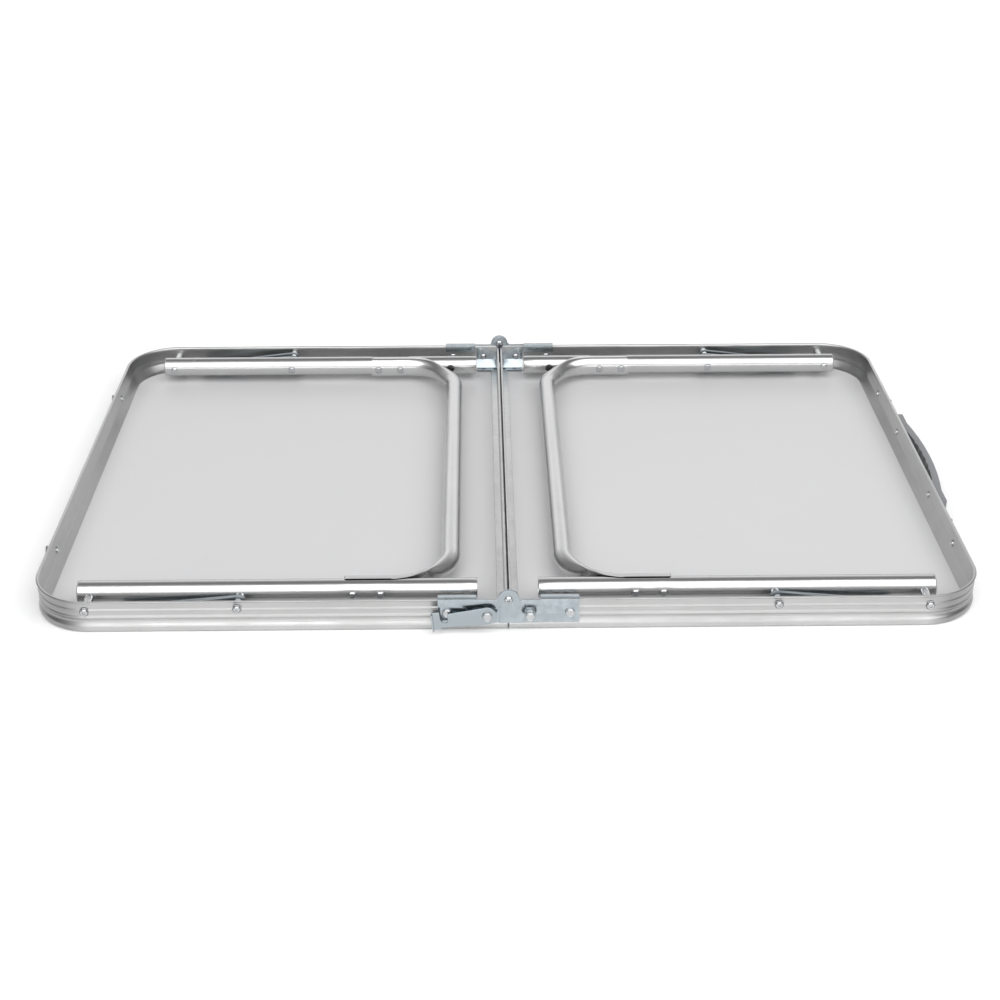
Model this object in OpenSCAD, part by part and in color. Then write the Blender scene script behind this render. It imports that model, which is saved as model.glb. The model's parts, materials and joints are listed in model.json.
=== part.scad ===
// Folding camping table, all aluminium, that closes into a flat carrying case.
// It lies face down and opened flat, with its legs folded into the underside.
// X runs along the open table, Y across it, Z up from the worktop face (mm).
// The origin is on the plane the rim rests on, at the middle of the seam.

/* [Overall] */
// length of the open table, both halves
open_length = 900; // [780:1:1100]
// width of the table across the seam
table_width = 600; // [520:1:700]
// height of the frame rail
frame_height = 33; // [27:0.5:42]
// outer radius of the two free corners of each half
corner_radius = 57; // [40:1:80]

/* [Frame and board] */
// thickness of the top board
board_thickness = 3.4; // [2.5:0.1:5]
// half of the gap at the seam
seam_half_gap = 0.8; // [0.5:0.1:1.5]
// thickness of the zinc-plated sheet fittings
sheet = 1.2; // [0.8:0.1:2]
// gap between the two hinge leaves' folds when the table is shut
shut_gap = 0.4; // [0.2:0.1:2]
// length of each hinge leaf along the rail
leaf_length = 66; // [60:1:80]

/* [Legs] */
// outside diameter of a leg tube
leg_diameter = 22; // [18:0.5:27]
// wall of a leg tube round the socket at its foot
socket_wall = 1.2; // [0.8:0.1:2]
// depth of the reamed socket at the foot
socket_depth = 80; // [40:1:85]
// distance of a leg's centre line from the long outer face
leg_inset = 37; // [35:0.5:60]
// how far a folded leg stands above the rail's edge
leg_proud = 0.5; // [-1:0.1:0.7]
// distance of a leg's pivot past the start of the corner
pivot_past = 2; // [-10:0.5:4]
// how far the legs swing open
open_angle = 98.8; // [90:0.1:105]
// gap between the seam and a folded foot end
foot_gap = 29; // [20:1:40]
// outside diameter of the cross tube
cross_diameter = 19; // [14:0.5:23]
// wall of the cross tube
cross_wall = 1.4; // [0.8:0.1:2]
// distance of the cross tube's run from the seam
cross_offset = 55; // [45:1:90]
// centre-line radius of the cross tube's bends
bend_radius = 45; // [30:1:60]

/* [Braces] */
// distance from a leg's pivot to its two brace pivots
brace_arm = 142; // [110:1:170]
// width of a brace link
brace_width = 12; // [9:0.5:15]

/* [Lock, catches and handle] */
// distance of the lock studs from the seam
stud_offset = 20; // [16:0.5:26]
// distance of the case catches from the table's centre line
catch_offset = 178; // [150:1:200]
// distance of the handle rivets from the table's centre line
handle_offset = 75; // [65:1:85]
// how far the handle's grip stands out
handle_rise = 14; // [12:0.5:24]

/* [Hidden] */
half_x = open_length / 2;
half_y = table_width / 2;
rim = frame_height;
hinge_z = rim + 0.2 + sheet + shut_gap / 2;
board_z = 1.2;
slot_top = board_z + board_thickness + 0.15;
board_top = slot_top - 0.08;
wall_in = 4.1;
flange_in = 10.5;
lip_in = 8;
foot_z = slot_top + 1.55;
leg_r = leg_diameter / 2;
bore_r = leg_r - socket_wall;
leg_y = half_y - leg_inset;
leg_height = rim - leg_r + leg_proud;
pivot_x = half_x - corner_radius + pivot_past;
// the leg's top end just clears the board as it swings
swing_r = leg_r + 0.78 * (leg_height - board_top - leg_r);
leg_end = pivot_x + sqrt(pow(swing_r, 2) - pow(leg_r, 2));
plug = 1.2;
brace_x = pivot_x - brace_arm;
rail_pin_z = leg_height + 2.1;
knee_z = board_top + brace_width / 2 + 1.5;
// the two links together span the brace pivots of a fully open leg
rail_arm = norm([brace_arm, rail_pin_z - leg_height]);
swing = open_angle - atan((rail_pin_z - leg_height) / brace_arm);
span = sqrt(pow(rail_arm, 2) + pow(brace_arm, 2) - 2 * rail_arm * brace_arm * cos(swing));
knee_drop = (rail_pin_z + leg_height) / 2 - knee_z;
knee_x = brace_x + sqrt(pow(span / 2, 2) - pow(knee_drop, 2));
leg_link_y = leg_y + leg_r + 5.5;
rail_link_y = leg_link_y + 5.3;
link_t = 2;
pin_r = 3;
pin_fit = 0.06;
rivet_z = 19.5;
cross_r = cross_diameter / 2;
cross_y = leg_y - leg_r - cross_r + 0.5;
saddle_start = cross_offset + bend_radius + 12;
saddle_end = saddle_start + 44;
saddle_rivets = [saddle_end - 8.5, saddle_end - 35];
saddle_r = leg_r + 2.6;
// a folded saddle stays between the board and the other half's saddle
saddle_low = board_top + 0.6;
saddle_top = hinge_z - 0.3;
// how deep the rail's ridges are pressed flat under a rivet head
pressed = 0.9;
leaf_y = half_y + 0.3;
ear_y = leaf_y + sheet + 0.3;
ear_r = 10;
lever_y = ear_y + sheet + 3.2;
lever_t = 1.5;
lever_tilt = 6;
notch = 2 * stud_offset;
catch_y0 = 2.2;
catch_span = 2 * (hinge_z - rivet_z);
e = 0.01;
$fn = 64;

// Rail section: distance in from the outer face, height.
rail_outer = [
    [3.6, 0], [2.0, 0.5], [0.9, 1.5], [0.35, 3.0], [0.2, 4.8], [0.5, 6.4], [1.2, 7.1],
    [0.7, 7.7], [0.25, 8.9], [0, 11.2], [0.2, 13.6], [0.7, 15.3], [1.5, 16.1],
    [0.9, 16.8], [0.7, 17.5], [0.9, 18.2], [1.7, min(18.9, rim - 8.6)], [1.8, rim - 8.5],
    [1.2, rim - 7.9], [0.9, rim - 7.3], [1.0, rim - 6.4], [1.7, rim - 5.7], [1.8, rim - 4.8],
    [1.6, rim - 2.6], [0.9, rim - 1.2], [0.3, rim - 0.6], [0.3, rim - 0.2], [0.6, rim]
];
rail_inner = [
    [2.4, rim], [2.9, rim - 0.3], [3.2, rim - 1], [3.3, rim - 8.4], [wall_in, rim - 9.6],
    [wall_in, 16], [flange_in - 0.7, slot_top + 2.15], [flange_in, slot_top + 1.35],
    [flange_in, slot_top], [3.45, slot_top],
    [3.45, board_z], [lip_in, board_z], [lip_in, 0.4], [7.6, 0]
];
rail_chamber = [[2.7, slot_top + 1.65], [8.2, slot_top + 1.65], [3.4, 14.6], [2.7, 15]];

// ---- helpers: everything is drawn on the right half, front side first ----
module left() {
    mirror([1, 0, 0]) children();
}

module rear() {
    mirror([0, 1, 0]) children();
}

module both_sides() {
    children();
    rear() children();
}

// a round bar along Y at (x, z), from one distance to another on the front side
module y_bar(x, z, r, from, to) {
    translate([x, -from, z]) rotate([90, 0, 0]) cylinder(r = r, h = to - from);
}

// a low domed rivet head whose base is at distance y; out = 1 faces outward
module head(x, z, r, y, h, out = 1) {
    translate([x, -y, z])
        rotate([out > 0 ? 90 : -90, 0, 0]) {
            cylinder(r = r, h = h * 0.45);
            translate([0, 0, h * 0.45]) cylinder(r1 = r, r2 = r * 0.55, h = h * 0.55);
        }
}

// ---- frame ----
module rail_section() {
    difference() {
        polygon(concat(rail_outer, rail_inner));
        polygon(rail_chamber);
    }
}

module long_rail() {
    translate([seam_half_gap, -half_y, 0])
        rotate([90, 0, 90])
            linear_extrude(half_x - corner_radius - seam_half_gap) rail_section();
}

module rail_corner() {
    translate([half_x - corner_radius, -half_y + corner_radius, 0])
        rotate([0, 0, -90])
            rotate_extrude(angle = 90)
                translate([corner_radius, 0]) mirror([1, 0]) rail_section();
}

module short_rail() {
    run = table_width - 2 * corner_radius;
    translate([half_x, run / 2, 0])
        mirror([1, 0, 0])
            rotate([90, 0, 0]) linear_extrude(run) rail_section();
}

module edge_rail() {
    color([0.80, 0.81, 0.82])
    difference() {
        union() {
            both_sides() long_rail();
            both_sides() rail_corner();
            short_rail();
        }
        both_sides() {
            // room for the centre rail and the hinge pin at the seam
            translate([0, -half_y + 3.4, -1]) cube([3.5, 12, rim + 2]);
            y_bar(0, hinge_z, 6.2, half_y - 12, half_y + 1);
            y_bar(pivot_x, leg_height, pin_r + pin_fit, half_y - 8, half_y + 1);
            y_bar(brace_x, rail_pin_z, 2.5 + pin_fit, half_y - 8, half_y + 1);
            y_bar(pivot_x, leg_height, 4.9, half_y - pressed, half_y + 3);
            y_bar(brace_x, rail_pin_z, 4.5, half_y - pressed, half_y + 3);
            y_bar(pivot_x, leg_height, 5.8, half_y - 12, half_y - wall_in);
            y_bar(brace_x, rail_pin_z, 4.9, half_y - 12, half_y - wall_in);
            for (x = [stud_offset, leaf_length - 8.5])
                y_bar(x, rivet_z, 2.5 + pin_fit, half_y - 8, half_y + 1);
            for (y = [catch_offset, handle_offset])
                translate([half_x - 8, -y, rivet_z])
                    rotate([0, 90, 0]) cylinder(r = 2.5 + pin_fit, h = 10);
            translate([half_x - pressed, -catch_offset, rivet_z])
                rotate([0, 90, 0]) cylinder(r = 4.5, h = 2);
        }
    }
}

module centre_rail() {
    color([0.76, 0.77, 0.78])
    difference() {
        union() {
            rotate([90, 0, 0])
                translate([0, 0, -(half_y - 11)])
                    linear_extrude(table_width - 22)
                        polygon([
                            [seam_half_gap, 0.5], [seam_half_gap + 0.5, 0], [lip_in - 0.4, 0],
                            [lip_in, 0.4], [lip_in, board_z], [3.3, board_z], [3.3, slot_top],
                            [10.2, slot_top], [10.2, slot_top + 1.15], [3.2, slot_top + 1.15],
                            [3.2, rim - 0.5], [2.8, rim], [seam_half_gap + 0.4, rim],
                            [seam_half_gap, rim - 0.4]
                        ]);
            translate([seam_half_gap, -half_y + 3.6, 0.5])
                cube([3.2 - seam_half_gap, table_width - 7.2, rim - 1]);
        }
        both_sides() y_bar(0, hinge_z, 6.2, half_y - 9, half_y + 1);
    }
}

module top_board() {
    r = corner_radius - 3.55;
    color([0.90, 0.90, 0.89])
    translate([0, 0, board_z + 0.07])
        linear_extrude(board_thickness) {
            translate([3.4, -half_y + 3.55])
                square([half_x - 3.4 - corner_radius, table_width - 7.1]);
            translate([half_x - corner_radius - e, -half_y + corner_radius])
                square([corner_radius - 3.55 + e, table_width - 2 * corner_radius]);
            for (s = [-1, 1])
                translate([half_x - corner_radius, s * (half_y - corner_radius)])
                    circle(r = r);
        }
}

// ---- seam hinges ----
module leaf_plate() {
    difference() {
        union() {
            // face plate on the outside of the rail
            translate([11, -leaf_y - sheet, 9]) cube([leaf_length - 11, sheet, rim - 8.6]);
            // fold over the rim, then a short lip down the inside
            translate([30, -leaf_y - sheet, rim + 0.2]) cube([leaf_length - 30, 8.4, sheet]);
            translate([30, -half_y + 5.8, rim - 6.6]) cube([leaf_length - 30, sheet, 6.6 + 0.2 + sheet]);
        }
        for (x = [stud_offset, leaf_length - 8.5])
            y_bar(x, rivet_z, 2.5 + pin_fit, half_y - 1, leaf_y + sheet + 1);
    }
}

// ear that reaches past the seam round the hinge pin; layer is its inner face
module ear(layer, reach) {
    difference() {
        union() {
            y_bar(0, hinge_z, ear_r, layer, layer + sheet);
            translate([-reach, -layer - sheet, 9]) cube([11 + reach, sheet, hinge_z - 9]);
        }
        y_bar(0, hinge_z, 2.5 + pin_fit, layer - 1, layer + sheet + 1);
    }
}

// the right-hand leaf: its ear is joggled out over the left-hand one
module leaf_outer() {
    color([0.66, 0.70, 0.74])
    union() {
        leaf_plate();
        ear(ear_y, 8);
        translate([11 - e, -ear_y - sheet, 9]) cube([sheet, ear_y - leaf_y + sheet, hinge_z - 9 - 1]);
    }
}

// the left-hand leaf, drawn on the right side and mirrored when placed
module leaf_inner() {
    color([0.66, 0.70, 0.74])
    union() {
        leaf_plate();
        ear(leaf_y, 8);
    }
}

module hinge_pins() {
    color([0.72, 0.75, 0.78])
    both_sides() {
        y_bar(0, hinge_z, 2.5, leaf_y - 0.4, ear_y + sheet + 0.2);
        head(0, hinge_z, 4, ear_y + sheet + 0.15, 2.2);
        head(0, hinge_z, 4, leaf_y - 0.15, 1.8, -1);
    }
}

// inside corner bracket joining the long rail and the centre rail
module bracket() {
    run = 24.5;
    color([0.64, 0.68, 0.72])
    difference() {
        union() {
            translate([3.5, -half_y, 0])
                rotate([90, 0, 90])
                    linear_extrude(run)
                        polygon([
                            [4.3, rim - 1.5], [4.3 + sheet, rim - 1.5], [4.3 + sheet, 16.4],
                            [11.4, foot_z + sheet], [18, foot_z + sheet], [18, foot_z],
                            [10.85, foot_z], [4.3, 16.1]
                        ]);
            translate([3.5, -half_y + 4.3, 17]) cube([sheet, 14, rim - 18.5]);
        }
        // top edge slopes down toward the hinge
        translate([3.4, -half_y, rim - 9])
            rotate([0, -22, 0]) translate([-10, 0, 0]) cube([38, 30, 20]);
        y_bar(stud_offset, rivet_z, 2.5 + pin_fit, half_y - 8, half_y + 1);
    }
}

// rivets through leaf, rail and bracket; outer_stud leaves that place to a lock stud
module leaf_rivets(outer_stud) {
    far = leaf_length - 8.5;
    y_bar(far, rivet_z, 2.5, half_y - 4.4, leaf_y + sheet + 0.2);
    head(far, rivet_z, 4.6, leaf_y + sheet + 0.02, 2);
    head(far, rivet_z, 3.4, half_y - 4.15, 1.6, -1);
    if (!outer_stud) {
        y_bar(stud_offset, rivet_z, 2.5, half_y - 5.8, leaf_y + sheet + 0.2);
        head(stud_offset, rivet_z, 4.6, leaf_y + sheet + 0.02, 2);
        head(stud_offset, rivet_z, 3, half_y - 5.55, 1.6, -1);
    }
}

// a lock stud on the front rail: shank, collar below the lever, wide head
module stud(collar) {
    color([0.74, 0.76, 0.79])
    union() {
        y_bar(stud_offset, rivet_z, 2.5, half_y - 5.8, lever_y);
        head(stud_offset, rivet_z, 3, half_y - 5.55, 1.6, -1);
        y_bar(stud_offset, rivet_z, collar, leaf_y + sheet + 0.05, lever_y - 0.15);
        y_bar(stud_offset, rivet_z, 3, lever_y - 0.2, lever_y + lever_t + 0.25);
        head(stud_offset, rivet_z, 4.8, lever_y + lever_t + 0.2, 2.2);
    }
}

// ---- rail hardware ----
module leg_pins() {
    color([0.70, 0.72, 0.75])
    both_sides() {
        y_bar(pivot_x, leg_height, pin_r, leg_y - leg_r - 0.6, half_y - 0.6);
        head(pivot_x, leg_height, 4.6, half_y - pressed + 0.02, 2.2);
        head(pivot_x, leg_height, 4, leg_y - leg_r - 0.3, 1.8, -1);
        y_bar(pivot_x, leg_height, 5.5, leg_y + leg_r + 0.3, half_y - wall_in - 0.1);
    }
}

module brace_pins() {
    color([0.70, 0.72, 0.75])
    both_sides() {
        y_bar(brace_x, rail_pin_z, 2.5, rail_link_y - 0.35, half_y - 0.6);
        head(brace_x, rail_pin_z, 4.2, half_y - pressed + 0.02, 2.2);
        y_bar(brace_x, rail_pin_z, 4.6, rail_link_y + link_t + 0.1, half_y - wall_in - 0.1);
        head(brace_x, rail_pin_z, 4, rail_link_y - 0.1, 1.3, -1);
    }
}

module catch_keepers() {
    color([0.70, 0.72, 0.75])
    for (s = [-1, 1])
        translate([half_x, s * catch_offset, rivet_z])
            rotate([0, 90, 0]) {
                translate([0, 0, -5.6]) cylinder(r = 2.5, h = 12.4);
                translate([0, 0, 0.02 - pressed]) cylinder(r = 4.2, h = 1.78 + pressed);
                translate([0, 0, 5.4]) cylinder(r = 5, h = 1.6);
                translate([0, 0, -5.9]) cylinder(r1 = 2.2, r2 = 3.8, h = 1.5);
            }
}

module catch_pins() {
    color([0.70, 0.72, 0.75])
    for (s = [-1, 1])
        translate([half_x, s * catch_offset, rivet_z])
            rotate([0, 90, 0]) {
                translate([0, 0, -5.6]) cylinder(r = 2.5, h = 10.2);
                translate([0, 0, 0.02 - pressed]) cylinder(r = 4.2, h = 1.98 + pressed);
                translate([0, 0, 4]) cylinder(r1 = 4.2, r2 = 2.6, h = 1.6);
                translate([0, 0, -5.9]) cylinder(r1 = 2.2, r2 = 3.8, h = 1.5);
            }
}

// swing hook beside the handle, lying along the rail with its notch upward
module catch_hook() {
    color([0.64, 0.68, 0.72])
    translate([half_x + catch_y0, -catch_offset, rivet_z])
        rotate([90, 0, 90])
            linear_extrude(1.5)
                difference() {
                    union() {
                        circle(r = 6);
                        translate([0, -5]) square([catch_span + 6, 9]);
                        translate([catch_span + 3, -5]) square([3.5, 13]);
                    }
                    circle(r = 2.5 + pin_fit);
                    translate([catch_span, 0]) circle(r = 2.8);
                    translate([catch_span - 2.8, 0]) square([5.6, 12]);
                }
}

// a nearly flat moulded grip on two pads, with finger waves on its inner side
module handle_grip() {
    outer_y = handle_offset + 20;
    inner_y = handle_offset - 17;
    grip = 6.5;
    swell = 4.5;
    outer_r = (pow(outer_y, 2) + pow(handle_rise - 5, 2)) / (2 * (handle_rise - 5));
    inner_r = (pow(inner_y, 2) + pow(swell, 2)) / (2 * swell);
    inner_x = handle_rise - grip;
    color([0.42, 0.43, 0.45])
    difference() {
        translate([half_x + 0.3, 0, 10])
            linear_extrude(18)
                difference() {
                    intersection() {
                        union() {
                            translate([handle_rise - outer_r, 0]) circle(r = outer_r, $fn = 720);
                            for (s = [-1, 1])
                                translate([0, s * (handle_offset + 7) - 22]) square([7.5, 44]);
                        }
                        translate([0, -handle_offset - 29])
                            square([handle_rise + 1, 2 * handle_offset + 58]);
                    }
                    difference() {
                        intersection() {
                            translate([inner_x - inner_r, 0]) circle(r = inner_r, $fn = 720);
                            translate([-1, -inner_y]) square([handle_rise, 2 * inner_y]);
                        }
                        for (y = [-32, -16, 0, 16, 32])
                            translate([inner_x - inner_r + sqrt(pow(inner_r, 2) - y * y) + 9.1, y])
                                circle(r = 10);
                    }
                }
        for (s = [-1, 1])
            translate([half_x - 1, s * handle_offset, rivet_z])
                rotate([0, 90, 0]) cylinder(r = 2.5 + pin_fit, h = 5);
    }
}

module handle_rivets() {
    color([0.70, 0.72, 0.75])
    for (s = [-1, 1])
        translate([half_x - 5.6, s * handle_offset, rivet_z])
            rotate([0, 90, 0]) {
                cylinder(r = 2.5, h = 9);
                translate([0, 0, -0.3]) cylinder(r1 = 2.2, r2 = 3.8, h = 1.6);
            }
}

// ---- lock lever, drawn pointing along -X from the left stud ----
module lock_lever() {
    color([0.68, 0.72, 0.76])
    translate([-stud_offset, -lever_y, rivet_z])
        rotate([0, -lever_tilt, 0])
            rotate([90, 0, 0]) {
                linear_extrude(lever_t)
                    difference() {
                        union() {
                            circle(r = 9);
                            polygon([
                                [0, 9], [3 - notch, 6.2], [3 - notch, -7.5], [0, -9]
                            ]);
                            translate([-notch - 5, -7.5]) square([9, 7.5]);
                            translate([-notch - 12, -9]) square([8, 18]);
                        }
                        circle(r = 3 + pin_fit);
                        translate([-notch, 0]) circle(r = 3.2);
                        translate([-notch - 3.2, 0]) square([6.4, 12]);
                    }
                // thumb tab bent outward
                translate([-notch - 12, -9, 0]) cube([1.5, 18, 5.5]);
            }
}

// ---- legs ----
module leg_tube() {
    color([0.82, 0.83, 0.84])
    difference() {
        translate([foot_gap, -leg_y, leg_height])
            rotate([0, 90, 0])
                difference() {
                    cylinder(r = leg_r, h = leg_end - plug - foot_gap);
                    translate([0, 0, -1]) cylinder(r = bore_r, h = socket_depth + 1);
                    cylinder(r = bore_r - 0.3, h = leg_end - foot_gap + 1);
                }
        y_bar(pivot_x, leg_height, pin_r + pin_fit, leg_y - leg_r - 1, leg_y + leg_r + 1);
        y_bar(brace_x, leg_height, 2.5 + pin_fit, leg_y - leg_r - 1, leg_y + leg_r + 1);
        for (x = saddle_rivets)
            y_bar(x, leg_height, 2.5 + pin_fit, leg_y - leg_r - 1, leg_y + leg_r + 1);
        // hole for the spring button of an extension leg
        y_bar(foot_gap + 31, leg_height, 4.7, leg_y - leg_r - 1, leg_y);
    }
}

// centre line of the cross tube, drawn solid at a given radius up to a given end
module cross_path(r, end) {
    translate([cross_offset, e, leg_height])
        rotate([90, 0, 0]) cylinder(r = r, h = cross_y - bend_radius + e);
    translate([cross_offset + bend_radius, -cross_y + bend_radius, leg_height])
        rotate([0, 0, 180])
            rotate_extrude(angle = 90) translate([bend_radius, 0]) circle(r = r);
    translate([cross_offset + bend_radius, -cross_y, leg_height])
        rotate([0, 90, 0]) cylinder(r = r, h = end - cross_offset - bend_radius);
}

// bent cross tube whose flattened ends are saddled onto the two legs
module cross_half() {
    difference() {
        union() {
            cross_path(cross_r, saddle_start + 16);
            saddle_shell();
        }
        cross_path(cross_r - cross_wall, saddle_start - 8);
        // seat for the leg
        translate([saddle_start, -leg_y, leg_height])
            rotate([0, 90, 0]) cylinder(r = leg_r + 0.05, h = 120, center = true);
        // the round tube tapers into the saddle
        translate([saddle_start - 7, -cross_y + cross_r + 0.2, 0])
            rotate([0, 0, -38]) translate([0, 0, -5]) cube([24, 40, 60]);
        for (x = saddle_rivets) {
            y_bar(x, leg_height, 2.5 + pin_fit, leg_y - leg_r - 6, leg_y);
            y_bar(x, leg_height, 3.8, leg_y - saddle_r - 12, leg_y - saddle_r);
        }
    }
}

// half shell round the inboard side of the leg, pressed flat where it would stand too high or low
module saddle_shell() {
    intersection() {
        translate([saddle_start, -leg_y, leg_height])
            rotate([0, 90, 0]) cylinder(r = saddle_r, h = saddle_end - saddle_start);
        translate([saddle_start - 1, -leg_y, saddle_low])
            cube([saddle_end - saddle_start + 2, 2 * leg_r, saddle_top - saddle_low]);
    }
}

module cross_tube() {
    color([0.80, 0.81, 0.82])
    both_sides() cross_half();
}

module saddle_rivets() {
    color([0.70, 0.72, 0.75])
    both_sides()
        for (x = saddle_rivets) {
            y_bar(x, leg_height, 2.5, leg_y - saddle_r - 0.4, leg_y + leg_r + 0.2);
            head(x, leg_height, 4.6, leg_y + leg_r + 0.02, 2.2);
            head(x, leg_height, 3.4, leg_y - saddle_r - 0.02, 1.6, -1);
        }
}

module end_plugs() {
    color([0.55, 0.56, 0.58])
    both_sides()
        difference() {
            translate([leg_end - plug, -leg_y, leg_height])
                rotate([0, 90, 0]) {
                    cylinder(r = leg_r, h = plug);
                    translate([0, 0, -5]) cylinder(r = bore_r - 0.35, h = 5 + e);
                }
            // a short stub has its plug notched round the leg pin
            y_bar(pivot_x, leg_height, pin_r + pin_fit, leg_y - leg_r, leg_y + leg_r);
            translate([pivot_x - 30, -leg_y - leg_r, leg_height - pin_r - pin_fit])
                cube([30, leg_diameter, 2 * (pin_r + pin_fit)]);
        }
}

module link_pins() {
    color([0.70, 0.72, 0.75])
    both_sides() {
        y_bar(brace_x, leg_height, 2.5, leg_y - leg_r - 0.4, leg_link_y + link_t + 0.3);
        head(brace_x, leg_height, 3.8, leg_y - leg_r - 0.02, 1.8, -1);
        y_bar(brace_x, leg_height, 4.6, leg_y + leg_r + 0.02, leg_link_y - 0.1);
        head(brace_x, leg_height, 4, leg_link_y + link_t + 0.1, 1.3);
    }
}

// ---- brace links: strips that meet at the knee ----
module strip(x0, z0, layer, x1, z1) {
    run = norm([x1 - x0, z1 - z0]);
    rise = atan2(z1 - z0, x1 - x0);
    translate([x0, -layer, z0])
        rotate([0, -rise, 0])
            rotate([90, 0, 0])
                linear_extrude(link_t)
                    difference() {
                        union() {
                            circle(d = brace_width);
                            translate([run, 0]) circle(d = brace_width);
                            translate([0, -brace_width / 2]) square([run, brace_width]);
                        }
                        circle(r = 2.5 + pin_fit);
                    }
}

module rail_link() {
    color([0.60, 0.64, 0.69])
    union() {
        strip(brace_x, rail_pin_z, rail_link_y, knee_x, knee_z);
        y_bar(knee_x, knee_z, 5, leg_link_y + link_t + 0.3, rail_link_y + e);
        head(knee_x, knee_z, 4, rail_link_y + link_t - e, 1.8);
    }
}

module leg_link() {
    color([0.60, 0.64, 0.69])
    union() {
        strip(brace_x, leg_height, leg_link_y, knee_x, knee_z);
        head(knee_x, knee_z, 4, leg_link_y + e, 1.8, -1);
    }
}

module rivets(front_studs) {
    color([0.72, 0.74, 0.77]) {
        leaf_rivets(front_studs);
        rear() leaf_rivets(false);
    }
}

left() edge_rail();  // left_edge_rail
left() centre_rail();  // left_centre_rail
left() top_board();  // left_top_board
left() leaf_inner();  // left_leaf_front
left() rear() leaf_inner();  // left_leaf_rear
left() bracket();  // left_bracket_front
left() rear() bracket();  // left_bracket_rear
left() rivets(true);  // left_rivets
left() leg_pins();  // left_leg_pins
left() brace_pins();  // left_brace_pins
hinge_pins();
left() stud(5);  // lever_stud
left() catch_keepers();
edge_rail();  // right_edge_rail
centre_rail();  // right_centre_rail
top_board();  // right_top_board
leaf_outer();  // right_leaf_front
rear() leaf_outer();  // right_leaf_rear
bracket();  // right_bracket_front
rear() bracket();  // right_bracket_rear
rivets(true);  // right_rivets
leg_pins();  // right_leg_pins
brace_pins();  // right_brace_pins
stud(4);  // lock_stud
catch_pins();
handle_grip();
handle_rivets();
lock_lever();
catch_hook();  // catch_hook_front
rear() catch_hook();  // catch_hook_rear
left() leg_tube();  // left_leg_front
left() rear() leg_tube();  // left_leg_rear
left() cross_tube();  // left_cross_tube
left() saddle_rivets();  // left_saddle_rivets
left() end_plugs();  // left_end_plugs
left() link_pins();  // left_link_pins
leg_tube();  // right_leg_front
rear() leg_tube();  // right_leg_rear
cross_tube();  // right_cross_tube
saddle_rivets();  // right_saddle_rivets
end_plugs();  // right_end_plugs
link_pins();  // right_link_pins
left() rail_link();  // left_rail_link_front
left() rear() rail_link();  // left_rail_link_rear
left() leg_link();  // left_leg_link_front
left() rear() leg_link();  // left_leg_link_rear
rail_link();  // right_rail_link_front
rear() rail_link();  // right_rail_link_rear
leg_link();  // right_leg_link_front
rear() leg_link();  // right_leg_link_rear
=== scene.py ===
"""Folding camping table, all aluminium, lying face down and opened flat.

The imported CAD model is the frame. The pieces here take their places from its node boxes and joints.
"""

import json
import math

import bmesh
import bpy
from bpy.props import FloatProperty, FloatVectorProperty, IntProperty, PointerProperty
from mathutils import Matrix, Vector


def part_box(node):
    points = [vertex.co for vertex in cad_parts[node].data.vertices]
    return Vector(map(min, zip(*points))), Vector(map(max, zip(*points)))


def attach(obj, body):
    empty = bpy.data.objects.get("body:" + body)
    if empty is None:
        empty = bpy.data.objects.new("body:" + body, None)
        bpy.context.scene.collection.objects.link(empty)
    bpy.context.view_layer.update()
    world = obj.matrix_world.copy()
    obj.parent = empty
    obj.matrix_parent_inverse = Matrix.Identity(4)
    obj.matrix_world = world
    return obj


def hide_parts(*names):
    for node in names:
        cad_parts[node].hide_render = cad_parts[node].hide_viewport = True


bl_info = {
    "name": "Folding camping table",
    "version": (1, 0, 0),
    "blender": (4, 5, 0),
    "location": "3D View > Sidebar > Table",
    "description": "Builds the looks of an aluminium case table round its packed CAD frame",
    "category": "Object",
}

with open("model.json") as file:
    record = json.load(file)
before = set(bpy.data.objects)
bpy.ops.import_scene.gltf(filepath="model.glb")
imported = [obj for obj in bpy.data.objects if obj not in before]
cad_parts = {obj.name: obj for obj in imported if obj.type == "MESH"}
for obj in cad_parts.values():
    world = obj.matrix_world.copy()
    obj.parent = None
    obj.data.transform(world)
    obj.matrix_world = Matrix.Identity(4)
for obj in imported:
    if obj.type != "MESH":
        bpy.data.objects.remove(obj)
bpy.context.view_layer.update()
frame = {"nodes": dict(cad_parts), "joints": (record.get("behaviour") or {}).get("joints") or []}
JOINTS = {j["name"]: j for j in frame["joints"]}
MM = 0.001


def low(node):
    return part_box(node)[0] / MM


def high(node):
    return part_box(node)[1] / MM


def joint_place(name):
    return Vector(JOINTS[name]["pos_m"]) / MM


# ---- places read from the frame, in millimetres ----
HALF_X = high("right_edge_rail").x
HALF_Y = high("right_edge_rail").y
RIM = high("right_edge_rail").z
SEAM = low("right_edge_rail").x
LEG = (low("right_leg_front") + high("right_leg_front")) / 2
LEG_R = (high("right_leg_front").z - low("right_leg_front").z) / 2
FOOT = low("right_leg_front").x
LEG_TOP = high("right_end_plugs").x
PIVOT = joint_place("right_legs_open")
BRACE = joint_place("right_leg_link_front_turn")
RAIL_PIN = joint_place("right_rail_link_front_turn")
HINGE = joint_place("fold")
LOCK = joint_place("lever_turn")
CATCH = joint_place("hook_rear_turn")
LEAF_END = high("right_leaf_front").x
SADDLE_HEAD_R = 4.6
SADDLE_RIVETS = (
    low("right_saddle_rivets").x + SADDLE_HEAD_R,
    high("right_saddle_rivets").x - SADDLE_HEAD_R,
)
SIDES = (("left", -1), ("right", 1))
ENDS = (("front", -1), ("rear", 1))

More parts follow.
